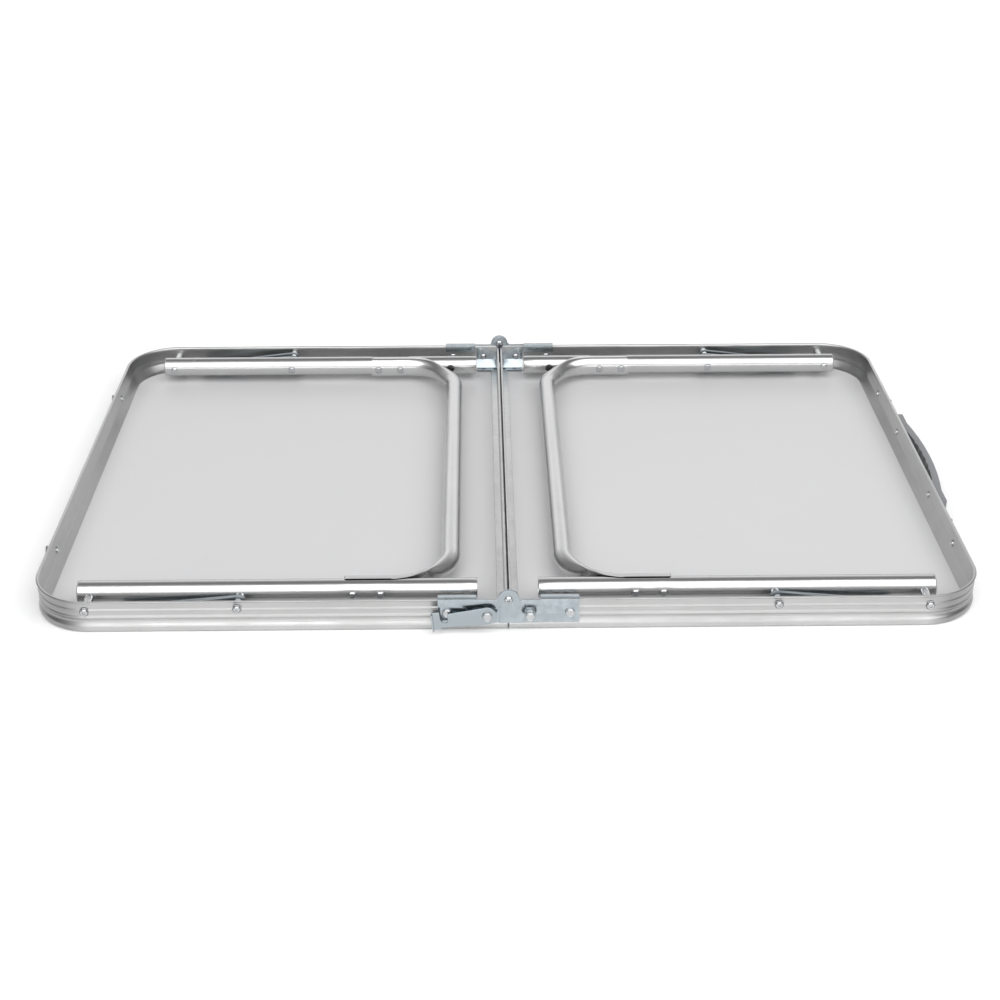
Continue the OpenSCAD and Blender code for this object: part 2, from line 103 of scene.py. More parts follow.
# ---- places and sizes of the fastenings, in millimetres ----
LONG_RAIL_INSIDE = HALF_Y - 4.1
SHORT_RAIL_INSIDE = HALF_X - 4.4
SHORT_RAIL_FACE = HALF_X - 1.2
BRACKET_INSIDE = HALF_Y - 5.5
LEAF_FACE = HALF_Y + 1.52
PIN_R = 3.0
RIVET_R = 2.5
SPACER_R = 4.5
PLUG_RIM = 1.2
SOCKET_R = 9.8
BUTTON_R = 4.7
BUTTON_FROM_FOOT = 31
HINGE_CLEARANCE = 6.2

# the rim height that the rail's section is drawn for, and how many of the
# section's points lie on its outer face and its rim
DRAWN_RIM = 33.0
OUTER_POINTS = 44


# ---- sizes and colours a user would change ----
class TableSizes(bpy.types.PropertyGroup):
    corner_radius: FloatProperty(
        name="Corner radius",
        description="Outer radius of the two free corners of each half, in millimetres",
        default=57.0,
        min=20.0,
        max=120.0,
    )
    corner_steps: IntProperty(
        name="Corner steps",
        description="How many steps make a quarter turn of the frame rail",
        default=28,
        min=8,
        max=64,
    )
    tube_sides: IntProperty(
        name="Tube sides",
        description="How many sides a round tube is drawn with",
        default=64,
        min=16,
        max=128,
    )
    sheet_edge: FloatProperty(
        name="Sheet edge rounding",
        description="Rounding of the stamped fittings' edges, in millimetres",
        default=0.22,
        min=0.02,
        max=1.0,
    )
    cross_radius: FloatProperty(
        name="Cross tube radius",
        description="Outside radius of the bent cross tube, in millimetres",
        default=9.5,
        min=6.0,
        max=14.0,
    )
    cross_offset: FloatProperty(
        name="Cross tube offset",
        description="Distance of the cross tube's run from the seam, in millimetres",
        default=55.0,
        min=30.0,
        max=100.0,
    )
    bend_radius: FloatProperty(
        name="Bend radius",
        description="Centre-line radius of the cross tube's bends, in millimetres",
        default=45.0,
        min=20.0,
        max=80.0,
    )
    dent_depth: FloatProperty(
        name="Dent depth",
        description="How deep a leg tube is drawn in round a squeezed rivet, in millimetres",
        default=0.55,
        min=0.0,
        max=2.0,
    )
    handle_edge: FloatProperty(
        name="Handle edge rounding",
        description="Rounding of the carry handle's edges, in millimetres",
        default=2.4,
        min=0.2,
        max=4.0,
    )


class TableFinishes(bpy.types.PropertyGroup):
    rail_colour: FloatVectorProperty(
        name="Rail aluminium",
        description="Colour of the extruded frame rails",
        subtype="COLOR",
        size=3,
        default=(0.525, 0.525, 0.522),
        min=0.0,
        max=1.0,
    )
    tube_colour: FloatVectorProperty(
        name="Tube aluminium",
        description="Colour of the leg and cross tubes",
        subtype="COLOR",
        size=3,
        default=(0.60, 0.60, 0.60),
        min=0.0,
        max=1.0,
    )
    zinc_colour: FloatVectorProperty(
        name="Zinc plate",
        description="Colour of the zinc-plated hinges, brackets and lever",
        subtype="COLOR",
        size=3,
        default=(0.395, 0.44, 0.462),
        min=0.0,
        max=1.0,
    )
    rivet_colour: FloatVectorProperty(
        name="Rivets",
        description="Colour of the rivets, studs and pins",
        subtype="COLOR",
        size=3,
        default=(0.56, 0.57, 0.58),
        min=0.0,
        max=1.0,
    )
    board_colour: FloatVectorProperty(
        name="Board",
        description="Colour of the top boards' laminate",
        subtype="COLOR",
        size=3,
        default=(0.60, 0.60, 0.605),
        min=0.0,
        max=1.0,
    )
    grip_colour: FloatVectorProperty(
        name="Handle plastic",
        description="Colour of the moulded carry handle",
        subtype="COLOR",
        size=3,
        default=(0.20, 0.205, 0.215),
        min=0.0,
        max=1.0,
    )
    plug_colour: FloatVectorProperty(
        name="Plug plastic",
        description="Colour of the leg tubes' end plugs",
        subtype="COLOR",
        size=3,
        default=(0.29, 0.29, 0.292),
        min=0.0,
        max=1.0,
    )


class TableStage(bpy.types.PropertyGroup):
    floor_colour: FloatVectorProperty(
        name="Floor",
        description="Colour of the plain floor",
        subtype="COLOR",
        size=3,
        default=(0.89, 0.89, 0.89),
        min=0.0,
        max=1.0,
    )
    floor_glow: FloatProperty(
        name="Floor glow",
        description="Light added to the floor far behind the table, where the lamps fall off",
        default=0.39,
        min=0.0,
        max=1.0,
    )
    light_power: FloatProperty(
        name="Light power",
        description="Power of the studio lights, as a share of the usual one",
        default=1.0,
        min=0.1,
        max=4.0,
        subtype="FACTOR",
    )
    lens: FloatProperty(
        name="Lens",
        description="Focal length of the camera on a 36 mm sensor",
        default=61.534,
        min=20.0,
        max=200.0,
        unit="CAMERA",
    )


# ---- shader helpers ----
class Wiring:
    """Adds and joins nodes of one tree."""

    def __init__(self, tree):
        self.tree = tree

    def add(self, kind, **values):
        node = self.tree.nodes.new(kind)
        for name, value in values.items():
            if hasattr(node, name):
                setattr(node, name, value)
            else:
                node.inputs[name.replace("_", " ")].default_value = value
        return node

    def join(self, source, target):
        self.tree.links.new(source, target)

    def maths(self, operation, first, second):
        node = self.add("ShaderNodeMath", operation=operation)
        for socket, value in zip(node.inputs, (first, second)):
            if isinstance(value, (int, float)):
                socket.default_value = value
            else:
                self.join(value, socket)
        return node.outputs[0]

    def ramp(self, source, start, end, low_value=0.0, high_value=1.0):
        node = self.add("ShaderNodeMapRange", clamp=True)
        node.inputs["From Min"].default_value = start
        node.inputs["From Max"].default_value = end
        node.inputs["To Min"].default_value = low_value
        node.inputs["To Max"].default_value = high_value
        self.join(source, node.inputs["Value"])
        return node.outputs["Result"]

    def blend(self, factor, first, second):
        node = self.add("ShaderNodeMix", data_type="RGBA")
        self.join(factor, node.inputs["Factor"])
        for socket, value in ((node.inputs["A"], first), (node.inputs["B"], second)):
            if isinstance(value, tuple):
                socket.default_value = (*value, 1.0)
            else:
                self.join(value, socket)
        return node.outputs["Result"]


def tint(colour, gain, blue=0.0):
    red, green, base_blue = colour
    return (
        min(red * gain, 1.0),
        min(green * gain, 1.0),
        min(base_blue * (gain + blue), 1.0),
    )


def group_tree(name, inputs, outputs):
    tree = bpy.data.node_groups.new(name, "ShaderNodeTree")
    for socket_name, kind, value in inputs:
        socket = tree.interface.new_socket(socket_name, in_out="INPUT", socket_type=kind)
        if value is not None:
            socket.default_value = value
    for socket_name, kind in outputs:
        tree.interface.new_socket(socket_name, in_out="OUTPUT", socket_type=kind)
    wiring = Wiring(tree)
    return tree, wiring, wiring.add("NodeGroupInput"), wiring.add("NodeGroupOutput")


def drawn_lines_group():
    """Fine lines left by the die, which run where the vector changes slowly."""
    tree, w, given, made = group_tree(
        "Drawn lines",
        [
            ("Vector", "NodeSocketVector", None),
            ("Fineness", "NodeSocketFloat", 1.0),
            ("Contrast", "NodeSocketFloat", 1.0),
        ],
        [("Lines", "NodeSocketFloat"), ("Waves", "NodeSocketFloat")],
    )
    fine = w.add("ShaderNodeTexNoise", Detail=3.0, Roughness=0.6)
    w.join(given.outputs["Vector"], fine.inputs["Vector"])
    w.join(given.outputs["Fineness"], fine.inputs["Scale"])
    coarse = w.add("ShaderNodeTexNoise", Detail=1.0, Roughness=0.5)
    w.join(given.outputs["Vector"], coarse.inputs["Vector"])
    w.join(w.maths("MULTIPLY", given.outputs["Fineness"], 0.14), coarse.inputs["Scale"])
    lines = w.ramp(fine.outputs["Fac"], 0.3, 0.7)
    w.join(w.maths("MULTIPLY", lines, given.outputs["Contrast"]), made.inputs["Lines"])
    w.join(coarse.outputs["Fac"], made.inputs["Waves"])
    return tree


def mottle_group():
    """Broad cloudy changes, as plating and rolled sheet have."""
    tree, w, given, made = group_tree(
        "Mottle",
        [("Vector", "NodeSocketVector", None), ("Size", "NodeSocketFloat", 30.0)],
        [("Cloud", "NodeSocketFloat"), ("Grain", "NodeSocketFloat")],
    )
    cloud = w.add("ShaderNodeTexNoise", Detail=4.0, Roughness=0.55)
    w.join(given.outputs["Vector"], cloud.inputs["Vector"])
    w.join(given.outputs["Size"], cloud.inputs["Scale"])
    grain = w.add("ShaderNodeTexNoise", Detail=2.0, Roughness=0.7)
    w.join(given.outputs["Vector"], grain.inputs["Vector"])
    w.join(w.maths("MULTIPLY", given.outputs["Size"], 22.0), grain.inputs["Scale"])
    w.join(w.ramp(cloud.outputs["Fac"], 0.3, 0.7), made.inputs["Cloud"])
    w.join(grain.outputs["Fac"], made.inputs["Grain"])
    return tree


def marks_group():
    """Short fine scratches and rubs from handling."""
    tree, w, given, made = group_tree(
        "Handling marks",
        [
            ("Vector", "NodeSocketVector", None),
            ("Density", "NodeSocketFloat", 90.0),
            ("Amount", "NodeSocketFloat", 0.5),
        ],
        [("Marks", "NodeSocketFloat")],
    )
    cells = w.add("ShaderNodeTexVoronoi", feature="DISTANCE_TO_EDGE")
    turn = w.add("ShaderNodeMapping")
    turn.inputs["Rotation"].default_value = (0.4, 0.7, 0.5)
    turn.inputs["Scale"].default_value = (0.25, 2.2, 1.0)
    w.join(given.outputs["Vector"], turn.inputs["Vector"])
    w.join(turn.outputs["Vector"], cells.inputs["Vector"])
    w.join(given.outputs["Density"], cells.inputs["Scale"])
    patch = w.add("ShaderNodeTexNoise", Detail=2.0)
    w.join(given.outputs["Vector"], patch.inputs["Vector"])
    patch.inputs["Scale"].default_value = 14.0
    line = w.ramp(cells.outputs["Distance"], 0.0, 0.03, 1.0, 0.0)
    where = w.ramp(patch.outputs["Fac"], 0.52, 0.68)
    both = w.maths("MULTIPLY", line, where)
    w.join(w.maths("MULTIPLY", both, given.outputs["Amount"]), made.inputs["Marks"])
    return tree


def wear_and_crease_shade_group():
    """Brighter rubbed metal along outside edges, and painted shade in inside ones, where the creases
    are darkened.
    """
    tree, w, given, made = group_tree(
        "Edge wear and crease shade",
        [("Vector", "NodeSocketVector", None), ("Amount", "NodeSocketFloat", 1.0)],
        [("Worn", "NodeSocketFloat"), ("Painted crease shade", "NodeSocketFloat")],
    )
    shape = w.add("ShaderNodeNewGeometry")
    breakup = w.add("ShaderNodeTexNoise", Detail=3.0)
    breakup.inputs["Scale"].default_value = 160.0
    w.join(given.outputs["Vector"], breakup.inputs["Vector"])
    edge = w.ramp(shape.outputs["Pointiness"], 0.52, 0.62)
    # painted shade: this mask darkens the colour in creases and inside corners
    crease = w.ramp(shape.outputs["Pointiness"], 0.48, 0.38)
    patchy = w.ramp(breakup.outputs["Fac"], 0.35, 0.6)
    worn = w.maths("MULTIPLY", edge, patchy)
    w.join(w.maths("MULTIPLY", worn, given.outputs["Amount"]), made.inputs["Worn"])
    w.join(w.maths("MULTIPLY", crease, given.outputs["Amount"]), made.inputs["Painted crease shade"])
    return tree


GROUPS = {}


def shared(wiring, name, vector, **values):
    """Places a shared group in a material, with its own values."""
    makers = {
        "Drawn lines": drawn_lines_group,
        "Mottle": mottle_group,
        "Handling marks": marks_group,
        "Edge wear and crease shade": wear_and_crease_shade_group,
    }
    if name not in GROUPS:
        GROUPS[name] = makers[name]()
    node = wiring.add("ShaderNodeGroup", node_tree=GROUPS[name])
    wiring.join(vector, node.inputs["Vector"])
    for key, value in values.items():
        node.inputs[key].default_value = value
    return node


def material(name, metallic, **constants):
    """A material with its shader, ready for its own nodes. Constants go on the shader's sockets."""
    made = bpy.data.materials.new(name)
    made.use_nodes = True
    tree = made.node_tree
    tree.nodes.clear()
    w = Wiring(tree)
    shader = w.add("ShaderNodeBsdfPrincipled")
    out = w.add("ShaderNodeOutputMaterial")
    w.join(shader.outputs["BSDF"], out.inputs["Surface"])
    shader.inputs["Metallic"].default_value = metallic
    for key, value in constants.items():
        shader.inputs[key].default_value = value
    place = w.add("ShaderNodeTexCoord").outputs["Object"]
    return made, w, shader, place


def stretched(w, place, scale, turn=(0.0, 0.0, 0.0)):
    node = w.add("ShaderNodeMapping")
    node.inputs["Scale"].default_value = scale
    node.inputs["Rotation"].default_value = turn
    w.join(place, node.inputs["Vector"])
    return node.outputs["Vector"]


def bump(w, shader, height, strength, distance):
    node = w.add("ShaderNodeBump")
    node.inputs["Strength"].default_value = strength
    node.inputs["Distance"].default_value = distance
    w.join(height, node.inputs["Height"])
    w.join(node.outputs["Normal"], shader.inputs["Normal"])


def extruded_aluminium(finish):
    """Satin extrusion: die lines, a slow wave, rubbed ridges, painted shade in the creases and on the
    outward faces of the bends.
    """
    colour = tuple(finish.rail_colour)
    made, w, shader, place = material("rail aluminium", 1.0, **{"Anisotropic": 0.25})
    along = stretched(w, place, (1.6, 1.6, 420.0))
    lines = shared(w, "Drawn lines", along, Fineness=3.0, Contrast=1.0)
    ripple = stretched(w, place, (22.0, 22.0, 30.0))
    wave = w.add("ShaderNodeTexNoise", Detail=1.0, Roughness=0.4)
    wave.inputs["Scale"].default_value = 1.0
    w.join(ripple, wave.inputs["Vector"])
    cloud = shared(w, "Mottle", place, Size=22.0)
    marks = shared(w, "Handling marks", place, Density=70.0, Amount=0.14)
    worn = shared(w, "Edge wear and crease shade", place, Amount=0.8)
    base = w.blend(cloud.outputs["Cloud"], tint(colour, 0.96), tint(colour, 1.03))
    rubbed = w.blend(worn.outputs["Worn"], base, tint(colour, 1.12))
    # painted shade: the rail's creases are given a darker colour
    crease_shaded = w.blend(worn.outputs["Painted crease shade"], rubbed, tint(colour, 0.72))
    # painted shade: the outward faces of the free corners' bends get a darker colour, for the shade
    # reflected there
    parts = w.add("ShaderNodeSeparateXYZ")
    w.join(place, parts.inputs[0])
    radius = bpy.context.scene.table_sizes.corner_radius
    fade = 22.0 * MM
    past_bend = []
    for axis, half in (("X", HALF_X), ("Y", HALF_Y)):
        start = (half - radius) * MM
        distance = w.maths("ABSOLUTE", parts.outputs[axis], 0.0)
        past_bend.append(w.ramp(distance, start, start + fade))
    bent = w.maths("MULTIPLY", *past_bend)
    facing = w.add("ShaderNodeVectorMath", operation="DOT_PRODUCT")
    w.join(w.add("ShaderNodeTexCoord").outputs["Normal"], facing.inputs[0])
    w.join(place, facing.inputs[1])
    painted_bend_shade = w.maths("MULTIPLY", bent, w.ramp(facing.outputs["Value"], 0.0, 0.1))
    w.join(w.blend(painted_bend_shade, crease_shaded, tint(colour, 0.62)), shader.inputs["Base Color"])
    rough = w.ramp(lines.outputs["Lines"], 0.0, 1.0, 0.27, 0.33)
    w.join(w.maths("ADD", rough, marks.outputs["Marks"]), shader.inputs["Roughness"])
    height = w.maths(
        "ADD",
        w.maths("MULTIPLY", lines.outputs["Lines"], 0.012),
        wave.outputs["Fac"],
    )
    bump(w, shader, height, 0.55, 0.0026)
    return made


def drawn_tube(finish):
    """Bright drawn tube: fine lines round and along it, soft dents."""
    colour = tuple(finish.tube_colour)
    made, w, shader, place = material("tube aluminium", 1.0, **{"Anisotropic": 0.1})
    along = stretched(w, place, (3.0, 260.0, 260.0))
    lines = shared(w, "Drawn lines", along, Fineness=4.0, Contrast=1.0)
    cloud = shared(w, "Mottle", place, Size=26.0)
    marks = shared(w, "Handling marks", place, Density=85.0, Amount=0.04)
    dents = w.add("ShaderNodeTexNoise", Detail=1.0, Roughness=0.4)
    dents.inputs["Scale"].default_value = 1.0
    w.join(stretched(w, place, (10.0, 34.0, 34.0)), dents.inputs["Vector"])
    worn = shared(w, "Edge wear and crease shade", place, Amount=0.6)
    base = w.blend(cloud.outputs["Cloud"], tint(colour, 0.97), tint(colour, 1.02))
    # painted shade: the tube's creases are given a darker colour
    w.join(w.blend(worn.outputs["Painted crease shade"], base, tint(colour, 0.7)), shader.inputs["Base Color"])
    rough = w.ramp(lines.outputs["Lines"], 0.0, 1.0, 0.22, 0.26)
    w.join(w.maths("ADD", rough, marks.outputs["Marks"]), shader.inputs["Roughness"])
    height = w.maths(
        "ADD",
        w.maths("MULTIPLY", lines.outputs["Lines"], 0.006),
        w.maths("MULTIPLY", dents.outputs["Fac"], 0.5),
    )
    bump(w, shader, height, 0.4, 0.0009)
    return made


def zinc_plate(finish, name="zinc plate", gain=1.0, rough_low=0.2, rough_high=0.3):
    """Bright zinc plating: bluish, cloudy, with a fine grain and bare worn edges."""
    colour = tint(tuple(finish.zinc_colour), gain)
    made, w, shader, place = material(name, 1.0, **{"Coat Weight": 0.12, "Coat Roughness": 0.2})
    cloud = shared(w, "Mottle", place, Size=9.0)
    marks = shared(w, "Handling marks", place, Density=130.0, Amount=0.15)
    worn = shared(w, "Edge wear and crease shade", place, Amount=1.0)
    base = w.blend(cloud.outputs["Cloud"], tint(colour, 0.96), tint(colour, 1.03, 0.02))
    pale = w.blend(worn.outputs["Worn"], base, tint(colour, 1.2))
    # painted shade: the creases of the plated fittings are given a darker colour
    w.join(w.blend(worn.outputs["Painted crease shade"], pale, tint(colour, 0.6)), shader.inputs["Base Color"])
    rough = w.ramp(cloud.outputs["Cloud"], 0.0, 1.0, rough_low, rough_high)
    w.join(w.maths("ADD", rough, marks.outputs["Marks"]), shader.inputs["Roughness"])
    bump(w, shader, cloud.outputs["Grain"], 0.12, 0.0004)
    return made


def rivet_metal(finish):
    """Turned and hammered rivets: small rings, with painted shade in the creases."""
    colour = tuple(finish.rivet_colour)
    made, w, shader, place = material("rivet steel", 1.0, **{"Anisotropic": 0.1})
    cloud = shared(w, "Mottle", place, Size=140.0)
    worn = shared(w, "Edge wear and crease shade", place, Amount=1.0)
    base = w.blend(cloud.outputs["Cloud"], tint(colour, 0.88), tint(colour, 1.05))
    # painted shade: the crease round each head is darkened almost to black, for the dark outline
    # round the heads
    w.join(w.blend(worn.outputs["Painted crease shade"], base, tint(colour, 0.12)), shader.inputs["Base Color"])
    w.join(w.ramp(cloud.outputs["Grain"], 0.3, 0.7, 0.1, 0.2), shader.inputs["Roughness"])
    bump(w, shader, cloud.outputs["Cloud"], 0.25, 0.0003)
    return made


def laminate(finish):
    """Smooth off-white laminate with a faint orange peel and a few rubs."""
    colour = tuple(finish.board_colour)
    sheen = {"IOR": 1.46, "Specular IOR Level": 0.45}
    made, w, shader, place = material("white laminate", 0.0, **sheen)
    cloud = shared(w, "Mottle", place, Size=5.0)
    marks = shared(w, "Handling marks", place, Density=26.0, Amount=0.25)
    base = w.blend(cloud.outputs["Cloud"], tint(colour, 0.985), tint(colour, 1.01))
    w.join(w.blend(marks.outputs["Marks"], base, tint(colour, 0.93)), shader.inputs["Base Color"])
    w.join(w.ramp(cloud.outputs["Cloud"], 0.0, 1.0, 0.30, 0.40), shader.inputs["Roughness"])
    peel = w.add("ShaderNodeTexNoise", Detail=2.0, Roughness=0.5)
    peel.inputs["Scale"].default_value = 420.0
    w.join(place, peel.inputs["Vector"])
    bump(w, shader, peel.outputs["Fac"], 0.10, 0.0003)
    return made


def moulded(finish_colour, name, rough, grain):
    """Moulded plastic with a fine spark-eroded grain and rubbed edges."""
    colour = tuple(finish_colour)
    made, w, shader, place = material(name, 0.0, **{"IOR": 1.49})
    cloud = shared(w, "Mottle", place, Size=36.0)
    worn = shared(w, "Edge wear and crease shade", place, Amount=0.8)
    base = w.blend(cloud.outputs["Cloud"], tint(colour, 0.92), tint(colour, 1.08))
    w.join(w.blend(worn.outputs["Worn"], base, tint(colour, 1.5)), shader.inputs["Base Color"])
    patchy = w.ramp(cloud.outputs["Cloud"], 0.0, 1.0, rough - 0.06, rough + 0.08)
    w.join(patchy, shader.inputs["Roughness"])
    bump(w, shader, cloud.outputs["Grain"], grain, 0.0004)
    return made


FINISH = {}


def finish(name):
    if name not in FINISH:
        picked = bpy.context.scene.table_finishes
        makers = {
            "rail": lambda: extruded_aluminium(picked),
            "tube": lambda: drawn_tube(picked),
            "zinc": lambda: zinc_plate(picked),
            "link": lambda: zinc_plate(picked, "link zinc", 0.82, 0.3, 0.48),
            "rivet": lambda: rivet_metal(picked),
            "board": lambda: laminate(picked),
            "grip": lambda: moulded(picked.grip_colour, "grip plastic", 0.42, 0.35),
            "plug": lambda: moulded(picked.plug_colour, "plug plastic", 0.5, 0.2),
        }
        FINISH[name] = makers[name]()
    return FINISH[name]


# ---- mesh helpers: shapes are drawn in millimetres ----
def placed(bm, name, body, look, nodes, sharp=38.0, loose_normals=True):
    """Turns a finished bmesh into a piece that rides on its body and stands for its CAD nodes."""
    if loose_normals:
        bmesh.ops.recalc_face_normals(bm, faces=bm.faces)
    bmesh.ops.scale(bm, vec=(MM, MM, MM), verts=bm.verts)
    mesh = bpy.data.meshes.new(name)
    bm.to_mesh(mesh)
    bm.free()
    mesh.shade_smooth()
    mesh.set_sharp_from_angle(angle=math.radians(sharp))
    mesh.materials.append(finish(look))
    piece = bpy.data.objects.new(name, mesh)
    bpy.context.scene.collection.objects.link(piece)
    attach(piece, body)
    if nodes:
        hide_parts(*nodes)
    return piece


def mirrored(bm, side):
    """Draws the left half's piece from the right half's."""
    if side < 0:
        bmesh.ops.scale(bm, vec=(-1, 1, 1), verts=bm.verts)
        bmesh.ops.reverse_faces(bm, faces=bm.faces)


def to_rear(bm, end):
    if end > 0:
        bmesh.ops.scale(bm, vec=(1, -1, 1), verts=bm.verts)
        bmesh.ops.reverse_faces(bm, faces=bm.faces)


def add_rear(bm):
    """Adds the mirror image behind, and joins the two where they meet."""
    copy = bmesh.ops.duplicate(bm, geom=bm.verts[:] + bm.edges[:] + bm.faces[:])["geom"]
    verts = [g for g in copy if isinstance(g, bmesh.types.BMVert)]
    faces = [g for g in copy if isinstance(g, bmesh.types.BMFace)]
    bmesh.ops.scale(bm, vec=(1, -1, 1), verts=verts)
    bmesh.ops.reverse_faces(bm, faces=faces)
    bmesh.ops.remove_doubles(bm, verts=bm.verts, dist=0.005)


def loop_of(bm, points):
    """A closed ring of edges through the points."""
    verts = [bm.verts.new(p) for p in points]
    return [bm.edges.new((a, b)) for a, b in zip(verts, verts[1:] + verts[:1])]


def verts_of(edges):
    return list({v for e in edges for v in e.verts})


def pushed(bm, edges, by):
    """Extrudes a ring of edges and moves the new ring."""
    made = bmesh.ops.extrude_edge_only(bm, edges=edges)["geom"]
    ring = [g for g in made if isinstance(g, bmesh.types.BMEdge)]
    verts = [g for g in made if isinstance(g, bmesh.types.BMVert)]
    inside = set(verts)
    ring = [e for e in ring if e.verts[0] in inside and e.verts[1] in inside]
    bmesh.ops.translate(bm, vec=by, verts=verts)
    return ring


def turned_corner(bm, edges, centre, angle, steps):
    made = bmesh.ops.spin(
        bm,
        geom=edges + verts_of(edges),
        cent=centre,
        axis=(0, 0, 1),
        angle=angle,
        steps=steps,
        use_merge=False,
        use_duplicate=False,
    )["geom_last"]
    return [g for g in made if isinstance(g, bmesh.types.BMEdge)]


def capped(bm, edges):
    bmesh.ops.triangle_fill(bm, edges=edges, use_beauty=True)


def bar(bm, points, by):
    """A prism: a closed outline pushed along a vector, with both ends filled."""
    first = loop_of(bm, points)
    last = pushed(bm, first, by)
    capped(bm, first)
    capped(bm, last)


def turned(bm, profile, place, direction, steps=32):
    """A turned shape: (radius, height) points spun about an axis, then set in place."""
    before = set(bm.verts)
    chain = [bm.verts.new((r, 0, h)) for r, h in profile]
    edges = [bm.edges.new(pair) for pair in zip(chain, chain[1:])]
    bmesh.ops.spin(
        bm,
        geom=edges + chain,
        cent=(0, 0, 0),
        axis=(0, 0, 1),
        angle=math.tau,
        steps=steps,
        use_merge=True,
        use_duplicate=False,
    )
    new = [v for v in bm.verts if v not in before]
    bmesh.ops.remove_doubles(bm, verts=new, dist=0.002)
    new = [v for v in bm.verts if v not in before]
    turn = Vector(direction).to_track_quat("Z", "Y").to_matrix().to_4x4()
    bmesh.ops.transform(bm, matrix=Matrix.Translation(place) @ turn, verts=new)


def softened(node, name, body, look, width, segments=2, angle=30.0, sharp=32.0, also=()):
    """A CAD fitting with its stamped edges rounded: its mesh is copied, merged and bevelled."""
    bm = bmesh.new()
    bm.from_mesh(frame["nodes"][node].data)
    bmesh.ops.scale(bm, vec=(1 / MM, 1 / MM, 1 / MM), verts=bm.verts)
    bmesh.ops.remove_doubles(bm, verts=bm.verts, dist=0.004)
    bmesh.ops.dissolve_limit(
        bm, angle_limit=math.radians(1.5), verts=bm.verts, edges=bm.edges
    )
    corners = [
        e
        for e in bm.edges
        if len(e.link_faces) == 2 and e.calc_face_angle(0.0) > math.radians(angle)
    ]
    bmesh.ops.bevel(
        bm,
        geom=corners + verts_of(corners),
        offset=width,
        offset_type="OFFSET",
        segments=segments,
        profile=0.5,
        affect="EDGES",
        material=-1,
        clamp_overlap=True,
    )
    return placed(bm, name, body, look, (node, *also), sharp=sharp, loose_normals=False)


# ---- rivet heads ----
def dome(r, h):
    """A smooth solid rivet head."""
    points = [(r, -0.6), (r, h * 0.12), (r * 0.97, h * 0.32), (r * 0.86, h * 0.6)]
    points += [(r * 0.66, h * 0.83), (r * 0.42, h * 0.95), (r * 0.2, h), (0, h)]
    return points


def pop_head(r, h):
    """A blind rivet's head: a domed flange with its pulled stem's pit in the middle."""
    points = [(r, -0.6), (r, h * 0.1), (r * 0.95, h * 0.34), (r * 0.8, h * 0.7)]
    points += [(r * 0.6, h * 0.93), (r * 0.46, h), (r * 0.38, h * 0.92), (r * 0.35, h * 0.35)]
    points += [(r * 0.22, h * 0.28), (r * 0.16, h * 0.5), (0, h * 0.52)]
    return points


def rail_head(r, h):
    """A hammered head: a thin skirt, a crease, then a steep dome with its stem's pit."""
    points = [(r + 0.9, -0.5), (r + 0.9, 0.02), (r + 0.75, 0.14), (r + 0.4, -0.35)]
    points += [(r, -0.35), (r, h * 0.4), (r * 0.93, h * 0.68), (r * 0.8, h * 0.88)]
    points += [(r * 0.6, h), (r * 0.44, h * 0.97), (r * 0.38, h * 0.62)]
    points += [(r * 0.2, h * 0.56), (0, h * 0.6)]
    return points


def flat_head(r, h):
    """A flat-topped stud head with a turned step near its rim."""
    points = [(r, -0.05), (r, h * 0.55), (r * 0.93, h * 0.8), (r * 0.84, h * 0.86)]
    points += [(r * 0.8, h * 0.8), (r * 0.74, h * 0.94), (r * 0.5, h), (0, h)]
    return points


def along_y(bm, profile, x, y, z, outward, steps=32):
    turned(bm, profile, (x, y, z), (0, outward, 0), steps)


def shank(r, length):
    return [(0, 0), (r, 0), (r, length), (0, length)]


# ---- the frame ----
def rail_outline():
    """The rail's section: distance in from the outer face, then height."""
    outer = [(3.6, 0.0), (2.6, 0.12), (1.7, 0.6), (0.95, 1.4), (0.5, 2.4), (0.25, 3.6)]
    outer += [(0.05, 4.8), (0.02, 5.8), (0.15, 6.6), (0.45, 7.3), (0.95, 8.15), (1.5, 9.1)]
    outer += [(2.05, 10.1), (2.35, 11.0), (2.42, 12.0), (2.3, 13.0), (1.9, 13.9), (1.4, 14.8)]
    outer += [(1.15, 15.4), (1.08, 15.9), (1.25, 16.4), (1.65, 17.1), (1.95, 17.8), (2.05, 18.6)]
    outer += [(2.0, 19.6), (1.95, 20.8), (1.85, 21.7), (1.5, 22.5)]
    outer += [(1.15, 23.1), (1.02, 23.6), (1.2, 24.1), (1.55, 24.7), (1.78, 25.3)]
    outer += [(1.76, 25.8), (1.8, 27.4), (1.72, 29.6), (1.3, 31.0), (0.8, 31.8), (0.42, 32.3)]
    outer += [(0.3, 32.55), (0.36, 32.8), (0.6, 32.98)]
    inner = [(1.5, 33.0), (2.4, 32.98), (2.85, 32.75), (3.15, 32.2), (3.25, 30.0), (3.35, 26.0)]
    inner += [(3.5, 24.4), (3.75, 22.4), (4.0, 20.0), (4.1, 16.8), (4.3, 15.6), (5.0, 14.1)]
    inner += [(8.6, 8.5)]
    inner += [(9.4, 7.2), (10.2, 5.6), (10.6, 4.85), (10.5, 4.77), (3.45, 4.76)]
    inner += [(3.45, 1.25), (7.8, 1.25), (8.0, 1.05), (8.0, 0.35), (7.65, 0.0)]
    rise = RIM - DRAWN_RIM
    return [(d, z + rise if z > 20 else z) for d, z in outer + inner]


def wall_outline():
    """The rail's bare wall, where it runs past the centre rail to the seam."""
    outer = rail_outline()[:OUTER_POINTS]
    return outer + [(3.2, 32.2 + RIM - DRAWN_RIM), (3.3, 25.0), (3.35, 0.6)]


